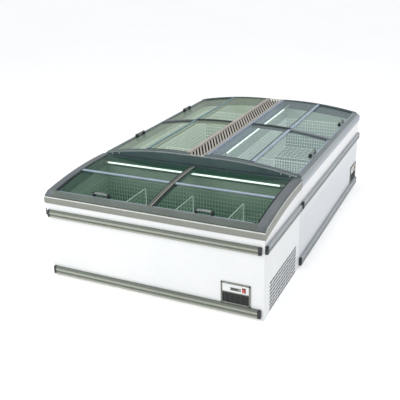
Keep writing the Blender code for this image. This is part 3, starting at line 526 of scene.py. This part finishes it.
def mullion(cab, rear_in):
    """Bar between the two bays.

    The head's is grooved with a raised strip. The sides' is sealed between the rear panes.
    """

    def ring(y, groove):
        t = cab.crown(y)
        left = [(-0.034, t - 0.030), (-0.034, t - SHELF), (-MULLION, t - SHELF), (-MULLION, t - 0.004),
                (-MULLION + 0.001, t - 0.0015), (-MULLION + 0.004, t)]
        right = [(-x, z) for x, z in reversed(left)]
        dip = [(0.001, t), (0.0015, t - 0.004), (0.0075, t - 0.004), (0.008, t)] if groove else []
        return [(x, y, z) for x, z in left + dip + right]

    split = 0.4376              # where the front panes end and the seal starts
    first, last = RECESS_FRONT + 0.0005, rear_in - 0.0005
    if cab is HEAD:
        bar = Form()
        bar.loft([ring(y, True) for y in spread(first, last, 36)])
        bar.make("head_frame_mullion", cab, SLOPE, smooth=25, slot="grey_moulding")
        for piece, start, end, drop, low, paint in (
                ("seal", 0.0018, 0.0072, 0.0028, 0.0039, SEAL),
                ("strip", 0.0084, MULLION - 0.0008, -0.0009, 0.0004, RAIL)):
            strip = curved_slab(cab, start, end, first, last, drop, low, steps=36)
            strip.make(f"head_mullion_{piece}", cab, paint, slot="grey_moulding")
        return
    front = Form()
    front.loft([ring(y, False) for y in spread(first, split, 24)])
    front.make(f"{cab.name}_frame_mullion", cab, FRAME_LIGHT if cab is RIGHT else FRAME, smooth=25,
               slot="grey_moulding")
    rear = Form()
    rear.loft([ring(y, False) for y in spread(split, last, 20)])
    rear.make(f"{cab.name}_mullion_seal", cab, SEAL, smooth=25, slot="black_moulding")


# ------------------------------------------------------------------ lids and panes


def bay(cab, side, margin):
    outer = cab.half - cab.shelf_end - margin
    inner = MULLION + margin
    return (-outer, -inner) if side == "left" else (inner, outer)


def pane_glass(cab):
    return {HEAD: GLASS_HEAD, LEFT: GLASS_LEFT, RIGHT: GLASS}[cab]


def curved_slab(cab, start, end, front, rear, top_drop, low_drop, steps=24, corner=0.0, outer_sign=0):
    """Curved plate between two drops below the crown; one front corner may be rounded."""
    stations = spread(front, rear, steps)
    if corner:
        stations = sorted(set([front + corner * (1 - math.cos(math.radians(a))) for a in range(0, 91, 10)]
                              + [y for y in stations if y > front + corner]))
    rings = []
    for y in stations:
        a, b = start, end
        if corner and y < front + corner:
            cut = corner - math.sqrt(max(0.0, corner ** 2 - (corner - (y - front)) ** 2))
            if outer_sign > 0:
                b = end - cut
            else:
                a = start + cut
        rings.append([(a, y, cab.crown(y, top_drop)), (b, y, cab.crown(y, top_drop)),
                      (b, y, cab.crown(y, low_drop)), (a, y, cab.crown(y, low_drop))])
    form = Form()
    form.loft(rings)
    return form


def front_lid(cab, side):
    body = f"{cab.name}_lid_{side}"
    start, end = bay(cab, side, 0.0098)
    sign = -1 if side == "left" else 1
    node = f"{cab.name}_front_lid_{side}"
    pane = curved_slab(cab, start + 0.001, end - 0.001, 0.050, 0.472, 0.0125, 0.0170, corner=0.028,
                       outer_sign=sign)
    pane.make(f"{body}_glass", cab, pane_glass(cab), body, [node], slot="green_glass")
    # front bar stops short of the rounded corner
    bar_start = start + (0.026 if sign < 0 else 0.0)
    bar_end = end - (0.026 if sign > 0 else 0.0)
    bar = Form()
    z = cab.crown(0.052)
    bar.prism_x([(0.0462, z - 0.0172), (0.0462, z - 0.0075), (0.0475, z - 0.0055), (0.0500, z - 0.0048),
                 (0.0545, z - 0.0048), (0.0570, z - 0.0060), (0.0592, z - 0.0100), (0.0592, z - 0.0120)],
                bar_start, bar_end)
    bar.make(f"{body}_front_bar", cab, FRAME_LIGHT if cab is LEFT else TRIM_BLUE, body, slot="handle_metal")
    back = curved_slab(cab, start, end, 0.4635, 0.4745, 0.0117, 0.0178, steps=2)
    back.make(f"{body}_rear_bar", cab, SEAL, body, slot="black_moulding")
    for edge, (a, b) in (("outer", (start, start + 0.006)), ("inner", (end - 0.006, end))):
        skirt = curved_slab(cab, a, b, 0.078, 0.463, 0.0116, 0.0178, steps=18)
        skirt.make(f"{body}_seal_{edge}", cab, SEAL, body, slot="black_moulding")


def lid_handle(cab, side):
    """Wide curved grip between two rounded black posts, leaning with the glass."""
    body = f"{cab.name}_lid_{side}"
    node = f"{cab.name}_lid_handle_{side}"
    start, end = bay(cab, side, 0.0)
    middle = (start + end) / 2
    y = 0.074
    half_grip = 0.060
    lean = math.asin((cab.crest_y - y) / cab.radius)
    base = cab.crown(y, 0.0112)
    turn = Matrix.Translation((middle, y, base)) @ Matrix.Rotation(lean, 4, "X")

    grip = Form()
    rings = []
    for x in spread(-half_grip, half_grip, 14):
        rise = 0.0270 + 0.0030 * math.cos(x / half_grip * math.pi / 2)
        rings.append([turn @ Vector((x, 0.0125 * v, rise + 0.0052 * w)) for v, w in circle(1.0, 18)])
    grip.loft(rings)
    grip.make(f"{node}_grip", cab, HANDLE, body, [node], slot="handle_metal")
    for end_name, sign in (("a", -1), ("b", 1)):
        foot = Form()
        outline = [(0.0125, 0.0002), (0.0140, 0.012)]
        outline += [(0.0145 * math.cos(a), 0.0225 + 0.0135 * math.sin(a))
                    for a in [math.radians(t) for t in range(0, 181, 15)]]
        outline += [(-0.0140, 0.012), (-0.0125, 0.0002)]
        rings = []
        for x, shrink in ((0.0565, 0.90), (0.0580, 1.0), (0.0700, 1.0), (0.0725, 0.86)):
            squat = 1.0 if shrink > 0.95 else 0.96
            rings.append([turn @ Vector((sign * x, v * shrink, 0.0002 + (w - 0.0002) * squat))
                          for v, w in outline])
        foot.loft(rings)
        foot.make(f"{node}_foot_{end_name}", cab, BLACK, body, slot="black_moulding")


def rear_pane(cab, side):
    node = f"{cab.name}_rear_pane_{side}"
    start, end = bay(cab, side, 0.0005)
    rear = cab.depth - cab.rear_rail - 0.0005
    pane = curved_slab(cab, start + 0.008, end - 0.008, 0.4450, rear, 0.0015, 0.0060)
    pane.make(f"{node}_glass", cab, pane_glass(cab), FIXED, [node], slot="green_glass")
    trim = curved_slab(cab, start + 0.009, end - 0.009, 0.4190, 0.4445, -0.0012, 0.0068, steps=3)
    trim.make(f"{node}_front_trim", cab, TRIM_TEAL if cab is LEFT else TRIM_BLUE, slot="handle_metal")
    for edge, (a, b) in (("outer", (start, start + 0.0085)), ("inner", (end - 0.0085, end))):
        form = Form()
        rings = []
        for y in spread(0.4305, rear, 24):
            top = min(cab.crown(y) + 0.0012, cab.crest - 0.0001)
            low = cab.crown(y, SHELF - 0.0003)
            rings.append([(a, y, low), (a, y, top - 0.0015), (a + 0.0015, y, top), (b - 0.0015, y, top),
                          (b, y, top - 0.0015), (b, y, low)])
        form.loft(rings)
        form.make(f"{node}_track_{edge}", cab, BLACK if cab is HEAD else SEAL, slot="black_moulding")


def lamp(cab):
    """Tube between its two holders; the head's has a green reflector strip behind it."""
    half = cab.half - cab.shelf_end - 0.0163
    y = {HEAD: 0.764, LEFT: 0.775, RIGHT: 0.756}[cab]
    z = cab.crest - 0.049
    reach = {-1: 0.034, 1: 0.062} if cab is HEAD else {-1: 0.195, 1: 0.195}
    tube = Form()
    radius = 0.0072 if cab is HEAD else 0.0058
    tube.rod((-half + reach[-1], y, z), (half - reach[1], y, z), radius, 20)
    tube.make(f"{cab.name}_lamp_tube", cab, LAMP, FIXED, [f"{cab.name}_lamp"], slot="lamp_white")
    if cab is HEAD:
        holder = Form()
        holder.box((-half + reach[-1], y + 0.0095, z - 0.0125),
                   (half - reach[1], y + 0.0125, z + 0.0125), 0.0008)
        holder.make("head_lamp_holder", cab, LAMP_HOLDER, slot="lamp_white")
    for side, sign in SIDES:
        cap = Form()
        foot = half - reach[sign]
        profile = [(half, 0.008), (half - 0.002, 0.0125), (foot + 0.008, 0.0125), (foot + 0.004, 0.0105),
                   (foot - 0.001, 0.0078)]
        cap.loft([[(sign * x, y + v, z + w) for v, w in circle(r, 20)] for x, r in profile])
        cap.make(f"{cab.name}_lamp_cap_{side}", cab, LAMP_CAP, slot="lamp_white")


# ------------------------------------------------------------------ rails, panels and tub


def rail(name, cab, start, end, heights, place=None):
    """Bumper extrusion: grooved lower face, leaning upper face toned apart as painted light and shade, and a
    black end cap at each end.
    """
    low, high = heights
    face, back = RAIL_FACE, RAIL_BACK
    tall = high - low
    groove = low + 0.375 * tall
    half_groove = 0.115 * tall
    split = low + 0.75 * tall
    lower = [(back, low), (face + 0.004, low), (face + 0.001, low + 0.002), (face, low + 0.006),
             (face, groove - half_groove - 0.001), (face + 0.0030, groove - half_groove),
             (face + 0.0030, groove + half_groove), (face, groove + half_groove + 0.001),
             (face, split - 0.001), (face + 0.001, split), (back, split)]
    upper = [(back, split + 0.0002), (face + 0.0018, split + 0.0002), (face + 0.0012, split + 0.002),
             (face + 0.0025, high - 0.006), (face + 0.0055, high - 0.0012), (face + 0.009, high),
             (back, high)]

    def at(x, y, z):
        return place @ Vector((x, y, z)) if place else Vector((x, y, z))

    ends = (start + RAIL_CAP, end - RAIL_CAP)
    # the head's front rails take one set of tones and all other rails the other: painted light and shade of
    # their facing
    paints = (RAIL, RAIL_TOP) if cab is HEAD and place is None else (RAIL_SIDE, RAIL_TOP_SIDE)
    for piece, outline, paint, replaced in (("extrusion", lower, paints[0], [name]),
                                            ("upper", upper, paints[1], ())):
        body = Form()
        body.loft([[at(x, y, z) for y, z in outline] for x in ends])
        body.make(f"{name}_{piece}", cab, paint, FIXED, replaced, slot="rail_moulding")
    strip = Form()
    strip.loft([[at(x, face + dy, groove + dz) for dy, dz in
                 ((0.0018, -half_groove), (0.0012, 0.0), (0.0018, half_groove), (0.0029, half_groove),
                  (0.0029, -half_groove))] for x in ends])
    strip.make(f"{name}_strip", cab, RAIL_DARK, slot="black_moulding")
    for cap_name, (a, b) in (("left", (start, start + RAIL_CAP)), ("right", (end - RAIL_CAP, end))):
        cap = Form()
        outer_first = cap_name == "left"
        xs = [a, a + 0.003, b - 0.0006] if outer_first else [a + 0.0006, b - 0.003, b]
        insets = [0.003, 0.0, 0.0] if outer_first else [0.0, 0.0, 0.003]
        rings = []
        for x, inset in zip(xs, insets):
            nose = face + inset * 0.6
            shape = [(back, low + inset), (face + 0.005, low + inset), (nose, low + 0.004 + inset * 0.5),
                     (nose, high - 0.004 - inset * 0.5), (face + 0.005, high - inset), (back, high - inset)]
            rings.append([at(x, y, z) for y, z in shape])
        cap.loft(rings)
        cap.make(f"{name}_cap_{cap_name}", cab, BLACK, slot="black_moulding")


def rails(cab):
    margin = 0.017 if cab is HEAD else 0.012
    reach = cab.half - margin
    rail(f"{cab.name}_upper_rail", cab, -reach, reach, UPPER_RAIL)
    rail(f"{cab.name}_lower_rail", cab, -reach, reach, LOWER_RAIL)


def head_end_rails():
    half = HEAD.depth / 2 - 0.012
    for side, sign in SIDES:
        place = (Matrix.Translation((sign * HEAD.half, HEAD.depth / 2, 0))
                 @ Matrix.Rotation(sign * math.pi / 2, 4, "Z"))
        rail(f"head_{side}_end_rail", HEAD, -half, half, UPPER_RAIL, place)


def control_panel(cab):
    """Grey bezel round a ribbed mesh below and a white plate with a small window above."""
    name = f"{cab.name}_control_panel"
    low, high = cab.local_box(name)
    left, bottom, right, top = low.x, low.z, high.x, high.z
    middle = (left + right) / 2
    switch = middle + SWITCH_X
    back = -0.0004
    split = 0.186               # height of the bar between the mesh and the plate
    edge = 0.012
    plate_low, plate_high = split + 0.005, top - edge - 0.001

    def plates(suffix, paint, slot, rows, replaced=()):
        """A piece made of upright plates: outlines as x, z, x, z, then front, back and bevel."""
        form = Form()
        for outlines, (front, rear, bevel) in rows:
            for x0, z0, x1, z1 in outlines:
                form.box((x0, front, z0), (x1, rear, z1), bevel)
        form.make(f"{name}_{suffix}", cab, paint, FIXED, replaced, slot=slot)

    border = [(left, top - edge, right, top), (left, bottom, right, bottom + edge),
              (left, bottom, left + edge, top), (right - edge, bottom, right, top)]
    bar = (left + 0.004, split - 0.004, right - 0.004, split + 0.004)
    backing = (left + 0.003, bottom + 0.003, right - 0.003, top - 0.003)
    plates("bezel", PANEL, "black_moulding",
           [(border, (FACE, back, 0.0015)), ([bar], (FACE + 0.0015, back, 0.001)),
            ([backing], (-0.0045, -0.0006, 0.0005))], [name])
    rib_places = [left + edge + (right - left - 2 * edge) * (k + 0.5) / 5 for k in range(5)]
    plates("ribs", RIB, "black_moulding",
           [([(x - 0.0022, bottom + edge - 0.002, x + 0.0022, split - 0.002) for x in rib_places],
             (FACE + 0.0004, -0.004, 0.0008))])
    sheet = (left + edge - 0.002, bottom + edge - 0.002, right - edge + 0.002, split - 0.003)
    uprights = [(x - 0.0008, bottom + edge - 0.001, x + 0.0008, split - 0.004)
                for x in spread(left + edge + 0.002, right - edge - 0.002, 34)]
    levels = [(left + edge - 0.001, z - 0.0008, right - edge + 0.001, z + 0.0008)
              for z in spread(bottom + edge + 0.002, split - 0.006, 14)]
    plates("mesh", MESH_BLACK, "black_moulding",
           [([sheet], (-0.0056, -0.0046, 0.0)), (uprights, (-0.0068, -0.0055, 0.0)),
            (levels, (-0.0066, -0.0055, 0.0))])
    round_switch = [(switch + 0.0135, plate_low, right - edge - 0.001, plate_high),
                    (switch - 0.0137, 0.2405, switch + 0.0137, plate_high),
                    (switch - 0.0137, plate_low, switch + 0.0137, 0.2015)]
    plates("plate", PLATE, "white_sheet",
           [([(left + edge + 0.001, plate_low, switch - 0.0135, plate_high)], (-0.0066, -0.0044, 0.0008)),
            (round_switch, (-0.0066, -0.0044, 0.0006))])
    plates("display_rim", PANEL, "black_moulding",
           [([(middle - 0.040, 0.205, middle + 0.042, 0.231)], (-0.0078, -0.0060, 0.0012))])
    plates("display_window", DISPLAY, "black_moulding",
           [([(middle - 0.036, 0.209, middle + 0.020, 0.227)], (-0.00795, -0.0070, 0.0003))])
    plates("buttons", LAMP_CAP, "white_sheet",
           [([(x - 0.0028, z - 0.0026, x + 0.0028, z + 0.0026) for x in (middle + 0.027, middle + 0.036)
              for z in (0.2135, 0.2225)], (-0.0079, -0.0070, 0.0005))])
    screws = Form()
    for x in (left + 0.040, right - 0.045):
        for z in (bottom + 0.006, top - 0.006):
            screws.rod((x, -0.0072, z), (x, -0.0086, z), 0.0042, 14, 0.0030)
    screws.make(name + "_screws", cab, SCREW, slot="handle_metal")


def power_switch(cab):
    """Red rocker with its two marks, inside a black surround."""
    node = f"{cab.name}_power_switch"
    low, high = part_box(node)
    centre = cab.matrix.inverted() @ ((low + high) / 2)
    turn = Matrix.Translation((centre.x, -0.005, SWITCH_Z)) @ Matrix.Rotation(math.radians(6), 4, "X")
    rocker = Form()
    shape = [(-0.0150, -0.0080), (-0.0138, -0.0084), (-0.0070, -0.0076), (0.0, -0.0072), (0.0070, -0.0076),
             (0.0138, -0.0084), (0.0150, -0.0080), (0.0152, 0.0035), (-0.0152, 0.0035)]
    rings = [[turn @ Vector((x, y + (0.0006 if abs(x) > 0.0095 else 0), z)) for z, y in shape]
             for x in (-0.0102, -0.0094, 0.0094, 0.0102)]
    rocker.loft(rings)
    rocker.make(node + "_rocker", cab, RED, f"{cab.name}_switch", [node], slot="switch_red")
    marks = Form()
    marks.box((-0.0008, -0.0087, 0.0055), (0.0008, -0.0078, 0.0115))
    profile = ((0.0036, -0.0087), (0.0036, -0.0076), (0.0026, -0.0076), (0.0026, -0.0087))
    rings = [[(u, y, -0.0085 + v) for u, v in circle(radius, 20)] for radius, y in profile]
    rings.append(rings[0])
    marks.loft(rings, caps=False)
    bmesh.ops.remove_doubles(marks.bm, verts=marks.bm.verts, dist=0.00001)
    bmesh.ops.transform(marks.bm, matrix=turn, verts=marks.bm.verts)
    marks.make(node + "_marks", cab, MARK, f"{cab.name}_switch", slot="white_sheet")
    frame_piece = Form()
    for a, b in (((-0.0135, -0.0178), (-0.0110, 0.0178)), ((0.0110, -0.0178), (0.0135, 0.0178)),
                 ((-0.0135, 0.0165), (0.0135, 0.0190)), ((-0.0135, -0.0190), (0.0135, -0.0165))):
        frame_piece.box((centre.x + a[0], -0.0079, SWITCH_Z + a[1]),
                        (centre.x + b[0], -0.0046, SWITCH_Z + b[1]), 0.0004)
    frame_piece.make(node + "_surround", cab, BLACK, slot="black_moulding")


X, Y, Z = (1, 0, 0), (0, 1, 0), (0, 0, 1)
WIRE_RADIUS = 0.0019


def grid(form, origin, across, up, width, height, pitch=MESH_PITCH, row=MESH_ROW):
    """Welded wire grid: uprights at a pitch, and level wires, of which the outer two are thicker."""
    origin, across, up = Vector(origin), Vector(across), Vector(up)
    count = max(2, round(width / pitch))
    for k in range(count + 1):
        foot = origin + across * (width * k / count)
        form.rod(foot, foot + up * height, WIRE_RADIUS, 5)
    rows = max(1, round(height / row))
    for k in range(rows + 1):
        foot = origin + up * (height * k / rows)
        form.rod(foot, foot + across * width, WIRE_RADIUS * (1.5 if k in (0, rows) else 1.0), 5)


def tub_grids(cab):
    """Wire grids on the tub's walls and on its two floors."""
    gap = 0.012
    low_x, high_x = -cab.half + TUB_END + gap, cab.half - TUB_END - gap
    step_x = cab.half - STEP_RUN - gap
    front, rear = TUB_FRONT + 0.010, cab.depth - TUB_REAR - 0.010
    low_run, high_run, across = step_x - low_x, high_x - step_x, rear - front
    top = cab.rim(0.0) - 0.035
    tall, short = top - FLOOR_Z, top - RAISED_FLOOR_Z
    paint = WIRE_HEAD if cab is HEAD else WIRE
    form = Form()
    for y in (front, rear):
        grid(form, (low_x, y, FLOOR_Z), X, Z, low_run, tall)
        grid(form, (step_x, y, RAISED_FLOOR_Z), X, Z, high_run, short)
    grid(form, (low_x, front, FLOOR_Z), Y, Z, across, tall)
    grid(form, (high_x, front, RAISED_FLOOR_Z), Y, Z, across, short)
    grid(form, (step_x, front, FLOOR_Z), Y, Z, across, RAISED_FLOOR_Z - FLOOR_Z)
    form.make(f"{cab.name}_tub_grids", cab, paint, slot="white_wire", smooth=60)
    base = Form()
    for x, z, run in ((low_x, FLOOR_Z, low_run), (step_x, RAISED_FLOOR_Z, high_run)):
        grid(base, (x, front, z - 0.002), X, Y, run, across, FLOOR_PITCH, FLOOR_PITCH)
    base.make(f"{cab.name}_floor_grids", cab, paint, slot="white_wire", smooth=60)


def dividers(cab):
    """Wire dividers, each a grid in a round frame that runs down its two sides."""
    places = ("left", "middle", "right") if cab is HEAD else ("middle",)
    for place in places:
        node = f"{cab.name}_wire_divider_{place}"
        low, high = cab.local_box(node)
        x = (low.x + high.x) / 2
        y0, y1 = low.y + 0.012, high.y - 0.012
        bottom, top = low.z + 0.004, high.z - 0.003
        form = Form()
        grid(form, (x, y0, bottom), Y, Z, y1 - y0, top - bottom)
        if cab is HEAD:
            form.make(node + "_mesh", cab, WIRE_HEAD, slot="white_wire", smooth=60)
            form = Form()
        form.path([(x, y0, bottom), (x, y0, top - 0.012), (x, y0 + 0.004, top - 0.003),
                   (x, y0 + 0.014, top), (x, y1 - 0.014, top), (x, y1 - 0.004, top - 0.003),
                   (x, y1, top - 0.012), (x, y1, bottom)], 0.0034, 8)
        form.make(node + "_wires", cab, WIRE, FIXED, [node], slot="white_wire", smooth=60)


def louvre():
    """Service plate: a lattice round its slots, with a pressed hood over each slot."""
    node = "head_end_louvre"
    low, high = HEAD.local_box(node)
    skin = HEAD.half
    columns, rows = 10, 8
    first_y, first_z = 0.120 + 0.010, 0.010 + 0.0055
    pitch_y, pitch_z = (0.660 - 0.012) / columns, 0.0315
    slot_length, slot_height = 0.0612, 0.0165
    hood_length = 0.0622
    slots_y = [first_y + k * pitch_y for k in range(columns)]
    slots_z = [first_z + k * pitch_z for k in range(rows)]
    cuts_y = [low.y + 0.0063]
    for y in slots_y:
        cuts_y += [y - 0.001, y + slot_length]
    cuts_y.append(high.y - 0.0063)
    cuts_z = [0.0103]
    for z in slots_z:
        cuts_z += [z, z + slot_height]
    cuts_z.append(0.2557)
    plate = Form()
    outer, inner = [[[plate.bm.verts.new((x, y, z)) for z in cuts_z] for y in cuts_y]
                    for x in (skin - 0.0002, skin - 0.0002 - 0.0012)]
    for i in range(len(cuts_y) - 1):
        for j in range(len(cuts_z) - 1):
            corners = [(i, j), (i + 1, j), (i + 1, j + 1), (i, j + 1)]
            if i % 2 == 1 and j % 2 == 1:
                for (a, b), (c, d) in zip(corners, corners[1:] + corners[:1]):
                    plate.bm.faces.new((outer[a][b], inner[a][b], inner[c][d], outer[c][d]))
                continue
            plate.bm.faces.new([outer[a][b] for a, b in corners])
            plate.bm.faces.new([inner[a][b] for a, b in corners[:1] + corners[:0:-1]])
    plate.make(node + "_sheet", HEAD, WHITE, FIXED, [node], slot="white_sheet", smooth=20)
    lips = Form()
    swell = ((0.0, 0.1), (0.08, 0.8), (0.16, 1.0), (0.5, 1.0), (0.84, 1.0), (0.92, 0.8), (1.0, 0.1))
    for slot_y in slots_y:
        for z in slots_z:
            rings = []
            for t, grow in swell:
                y = slot_y - 0.001 + hood_length * t
                out = 0.0004 + 0.0040 * grow
                rings.append([(skin - 0.0013, y, z - 0.0014), (skin + out * 0.4, y, z - 0.0012),
                              (skin + out, y, z + 0.0012), (skin + out - 0.0010, y, z + 0.0016),
                              (skin + out * 0.3 - 0.0006, y, z + 0.0002), (skin - 0.0013, y, z - 0.0002)])
            lips.loft(rings)
    lips.make(node + "_lips", HEAD, WHITE, slot="white_sheet", smooth=50)
    backing = Form()
    backing.box((skin - 0.0044, 0.122, 0.0125), (skin - 0.0034, 0.120 + 0.660, 0.2545))
    backing.make(node + "_backing", HEAD, SHADOW, slot="white_sheet")


def gable():
    """Arched sheet between the head and the side cabinets, with a light rim and four screws."""
    low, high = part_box("gable_panel")
    y0, y1 = low.y, high.y
    half = high.x
    base = low.z

    def top(x):
        s = min(half - abs(x), RIGHT.crest_y)
        if s < BAND_REAR:
            return RIGHT.slope(s) - 0.002
        return RIGHT.crown(s, 0.0042)

    xs = [round(x, 5) for x in spread(-half, half, 96)]
    xs = sorted(set(xs + [half - BAND_REAR, BAND_REAR - half]))
    sheet = Form()
    sheet.loft([[(x, y0, base), (x, y0, top(x) - 0.0006), (x, y0 + 0.0006, top(x)), (x, y1 - 0.0006, top(x)),
                 (x, y1, top(x) - 0.0006), (x, y1, base)] for x in xs])
    sheet.make("gable_sheet", None, SLATE, FIXED, ["gable_panel"], slot="slate_sheet")
    rim = Form()
    inner = [x for x in xs if abs(x) < half - 0.03]
    section = ((y0 - 0.0030, -0.010), (y0 - 0.0042, -0.007), (y0 - 0.0042, -0.001), (y0 - 0.0030, 0.0006),
               (y1, 0.0006), (y1, 0.0001), (y0 - 0.0001, 0.0), (y0 - 0.0001, -0.010))
    rim.loft([[(x, y, top(x) + rise) for y, rise in section] for x in inner])
    rim.make("gable_rim", None, SLATE_RIM, slot="slate_sheet")
    screws = Form()
    for x in (half - 0.172, half - 0.098, 0.098 - half, 0.172 - half):
        z = min(0.822, top(x) - 0.018)
        screws.rod((x, y0 - 0.0002, z), (x, y0 - 0.0035, z), 0.0065, 18, 0.0045)
        screws.box((x - 0.0035, y0 - 0.0037, z - 0.0006), (x + 0.0035, y0 - 0.0034, z + 0.0006))
    screws.make("gable_screws", None, SCREW, slot="handle_metal")


def keep_beyond(plan, limit):
    """The part of a convex (x, y) outline whose y is above a limit."""
    kept = []
    for (ax, ay), (bx, by) in zip(plan, plan[1:] + plan[:1]):
        if ay >= limit:
            kept.append((ax, ay))
        if (ay >= limit) != (by >= limit):
            share = (limit - ay) / (by - ay)
            kept.append((ax + share * (bx - ax), limit))
    return kept


def centre_grille():
    """Folded sheet over the gap, with slanted slots between its two flanges."""
    low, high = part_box("centre_grille")
    half = (high.x - low.x) / 2
    y0, y1 = low.y, high.y
    top = high.z
    slots = 35
    first, last = 0.048, -0.068     # the slots' two ends
    lean = (first - last) * 1.95
    margin = 0.020
    under = top - 0.0025
    pitch = (y1 - y0 + 0.0006 - 2 * margin) / slots
    form = Form()
    form.box((first, y0, under), (half, y1, top), 0.0004)
    form.box((-half, y0, under), (last, y1, top), 0.0004)
    form.box((last, y0, under), (first, y0 + margin, top))
    form.box((last, y1 - margin, under), (first, y1, top))
    for x0, x1 in ((-half, 0.0022 - half), (half - 0.0022, half)):
        form.box((x0, y0, low.z), (x1, y1, top - 0.0004))
    form.make("centre_grille_sheet", None, TAN, FIXED, ["centre_grille"], slot="tan_sheet", smooth=20)
    bars, lips = Form(), Form()
    begin = y0 - 0.0003 + margin
    finish = y1 + 0.0003 - margin
    for k in range(-math.ceil(lean / pitch) - 1, slots + 1):
        start = begin + (k + 0.75) * pitch
        plan = [(first, start), (last, start + lean), (last, start + pitch * 0.5 + lean),
                (first, start + pitch * 0.5)]
        plan = keep_beyond(plan, begin)
        plan = [(x, -y) for x, y in keep_beyond([(x, -y) for x, y in plan], -finish)]
        if len(plan) > 2:
            bars.loft([[(x, y, z) for x, y in plan] for z in (top - 0.0030, top - 0.0003)])
            # each slot's folded lip, dark as painted shade in the slot
            lips.loft([[(x, y, z) for x, y in plan] for z in (top - 0.0300, top - 0.0031)])
    bars.make("centre_grille_bars", None, TAN, slot="tan_sheet", smooth=20)
    lips.make("centre_grille_lips", None, SHADED_LIP, slot="tan_sheet", smooth=20)
    seam = Form()
    seam.box((half - 0.0085, y0 + 0.001, top + 0.0001), (half + 0.0020, y1 - 0.001, top + 0.0016), 0.0004)
    seam.make("centre_grille_seal", None, SEAL, slot="black_moulding")


# ------------------------------------------------------------------ assembly

for cabinet in CABINETS:
    dress(f"{cabinet.name}_outer_casing", WHITE if cabinet is HEAD else WHITE_SIDE)
    dress(f"{cabinet.name}_insulation", FOAM)
    dress(f"{cabinet.name}_inner_liner", LINER_HEAD if cabinet is HEAD else LINER)
    dress(f"{cabinet.name}_condensing_unit", MACHINE)
    top_frame(cabinet)
    for bay_side, _ in SIDES:
        front_lid(cabinet, bay_side)
        lid_handle(cabinet, bay_side)
        rear_pane(cabinet, bay_side)
    lamp(cabinet)
    control_panel(cabinet)
    power_switch(cabinet)
    tub_grids(cabinet)
    dividers(cabinet)
    rails(cabinet)
head_end_rails()
louvre()
gable()
centre_grille()

# ------------------------------------------------------------------ floor, light and camera

floor_mesh = bpy.data.meshes.new("floor")
floor_form = bmesh.new()
bmesh.ops.create_grid(floor_form, x_segments=1, y_segments=1, size=30.0)
floor_form.to_mesh(floor_mesh)
floor_form.free()
floor = bpy.data.objects.new("floor", floor_mesh)
floor_mesh.materials.append(surface("studio_floor", "#f8f8f8", "#f5f5f5", grain=0.5,
                                    rough=(0.7, 0.8), bump=0.01, glow=("#ffffff", 0.36)))
SCENE.collection.objects.link(floor)

world = bpy.data.worlds.new("studio")
SCENE.world = world
world.use_nodes = True
backdrop = world.node_tree.nodes["Background"]
backdrop.inputs["Color"].default_value = (0.97, 0.985, 1.0, 1.0)
backdrop.inputs["Strength"].default_value = 0.66


def soft_light(name, place, aim, size, power, tint=(1, 1, 1)):
    data = bpy.data.lights.new(name, "AREA")
    data.shape = "RECTANGLE"
    data.size = size[0]
    data.size_y = size[1]
    data.energy = power
    data.color = tint
    made = bpy.data.objects.new(name, data)
    made.location = place
    made.rotation_euler = (Vector(aim) - Vector(place)).to_track_quat("-Z", "Y").to_euler()
    SCENE.collection.objects.link(made)


soft_light("key", (-2.5, -5.0, 4.5), (0, -1.0, 0.4), (4.0, 3.0), 130, (1.0, 0.995, 0.98))
soft_light("top", (0.5, 1.0, 5.0), (0, 0, 0.5), (5.0, 5.0), 65, (0.97, 0.99, 1.0))
soft_light("side", (5.5, 0.5, 2.5), (0.9, 0.2, 0.4), (3.0, 3.0), 4, (0.95, 0.97, 1.0))

YAW, PITCH, ROLL = 0.4408, 0.3898, -0.0238
CAMERA_X, CAMERA_Y, CAMERA_Z = 3.1587, 3.8029, 2.605    # from the head's left front corner
LENS, SENSOR = 58.13, 36.0

camera_data = bpy.data.cameras.new("camera")
camera_data.sensor_width = SENSOR
camera_data.lens = LENS
camera_data.clip_end = 100.0
camera = bpy.data.objects.new("camera", camera_data)
SCENE.collection.objects.link(camera)
ahead = Vector((-math.sin(YAW) * math.cos(PITCH), math.cos(YAW) * math.cos(PITCH), -math.sin(PITCH)))
across = Vector((math.cos(YAW), math.sin(YAW), 0.0))
upward = across.cross(ahead)
right_hand = math.cos(ROLL) * across + math.sin(ROLL) * upward
up_hand = -math.sin(ROLL) * across + math.cos(ROLL) * upward
turn = Matrix((right_hand, up_hand, -ahead)).transposed().to_4x4()
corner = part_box("head_outer_casing")[0]
camera.matrix_world = Matrix.Translation((corner.x + CAMERA_X, corner.y - CAMERA_Y, CAMERA_Z)) @ turn
SCENE.camera = camera

SCENE.view_settings.view_transform = "Standard"
SCENE.view_settings.look = "None"
SCENE.view_settings.exposure = 0.0
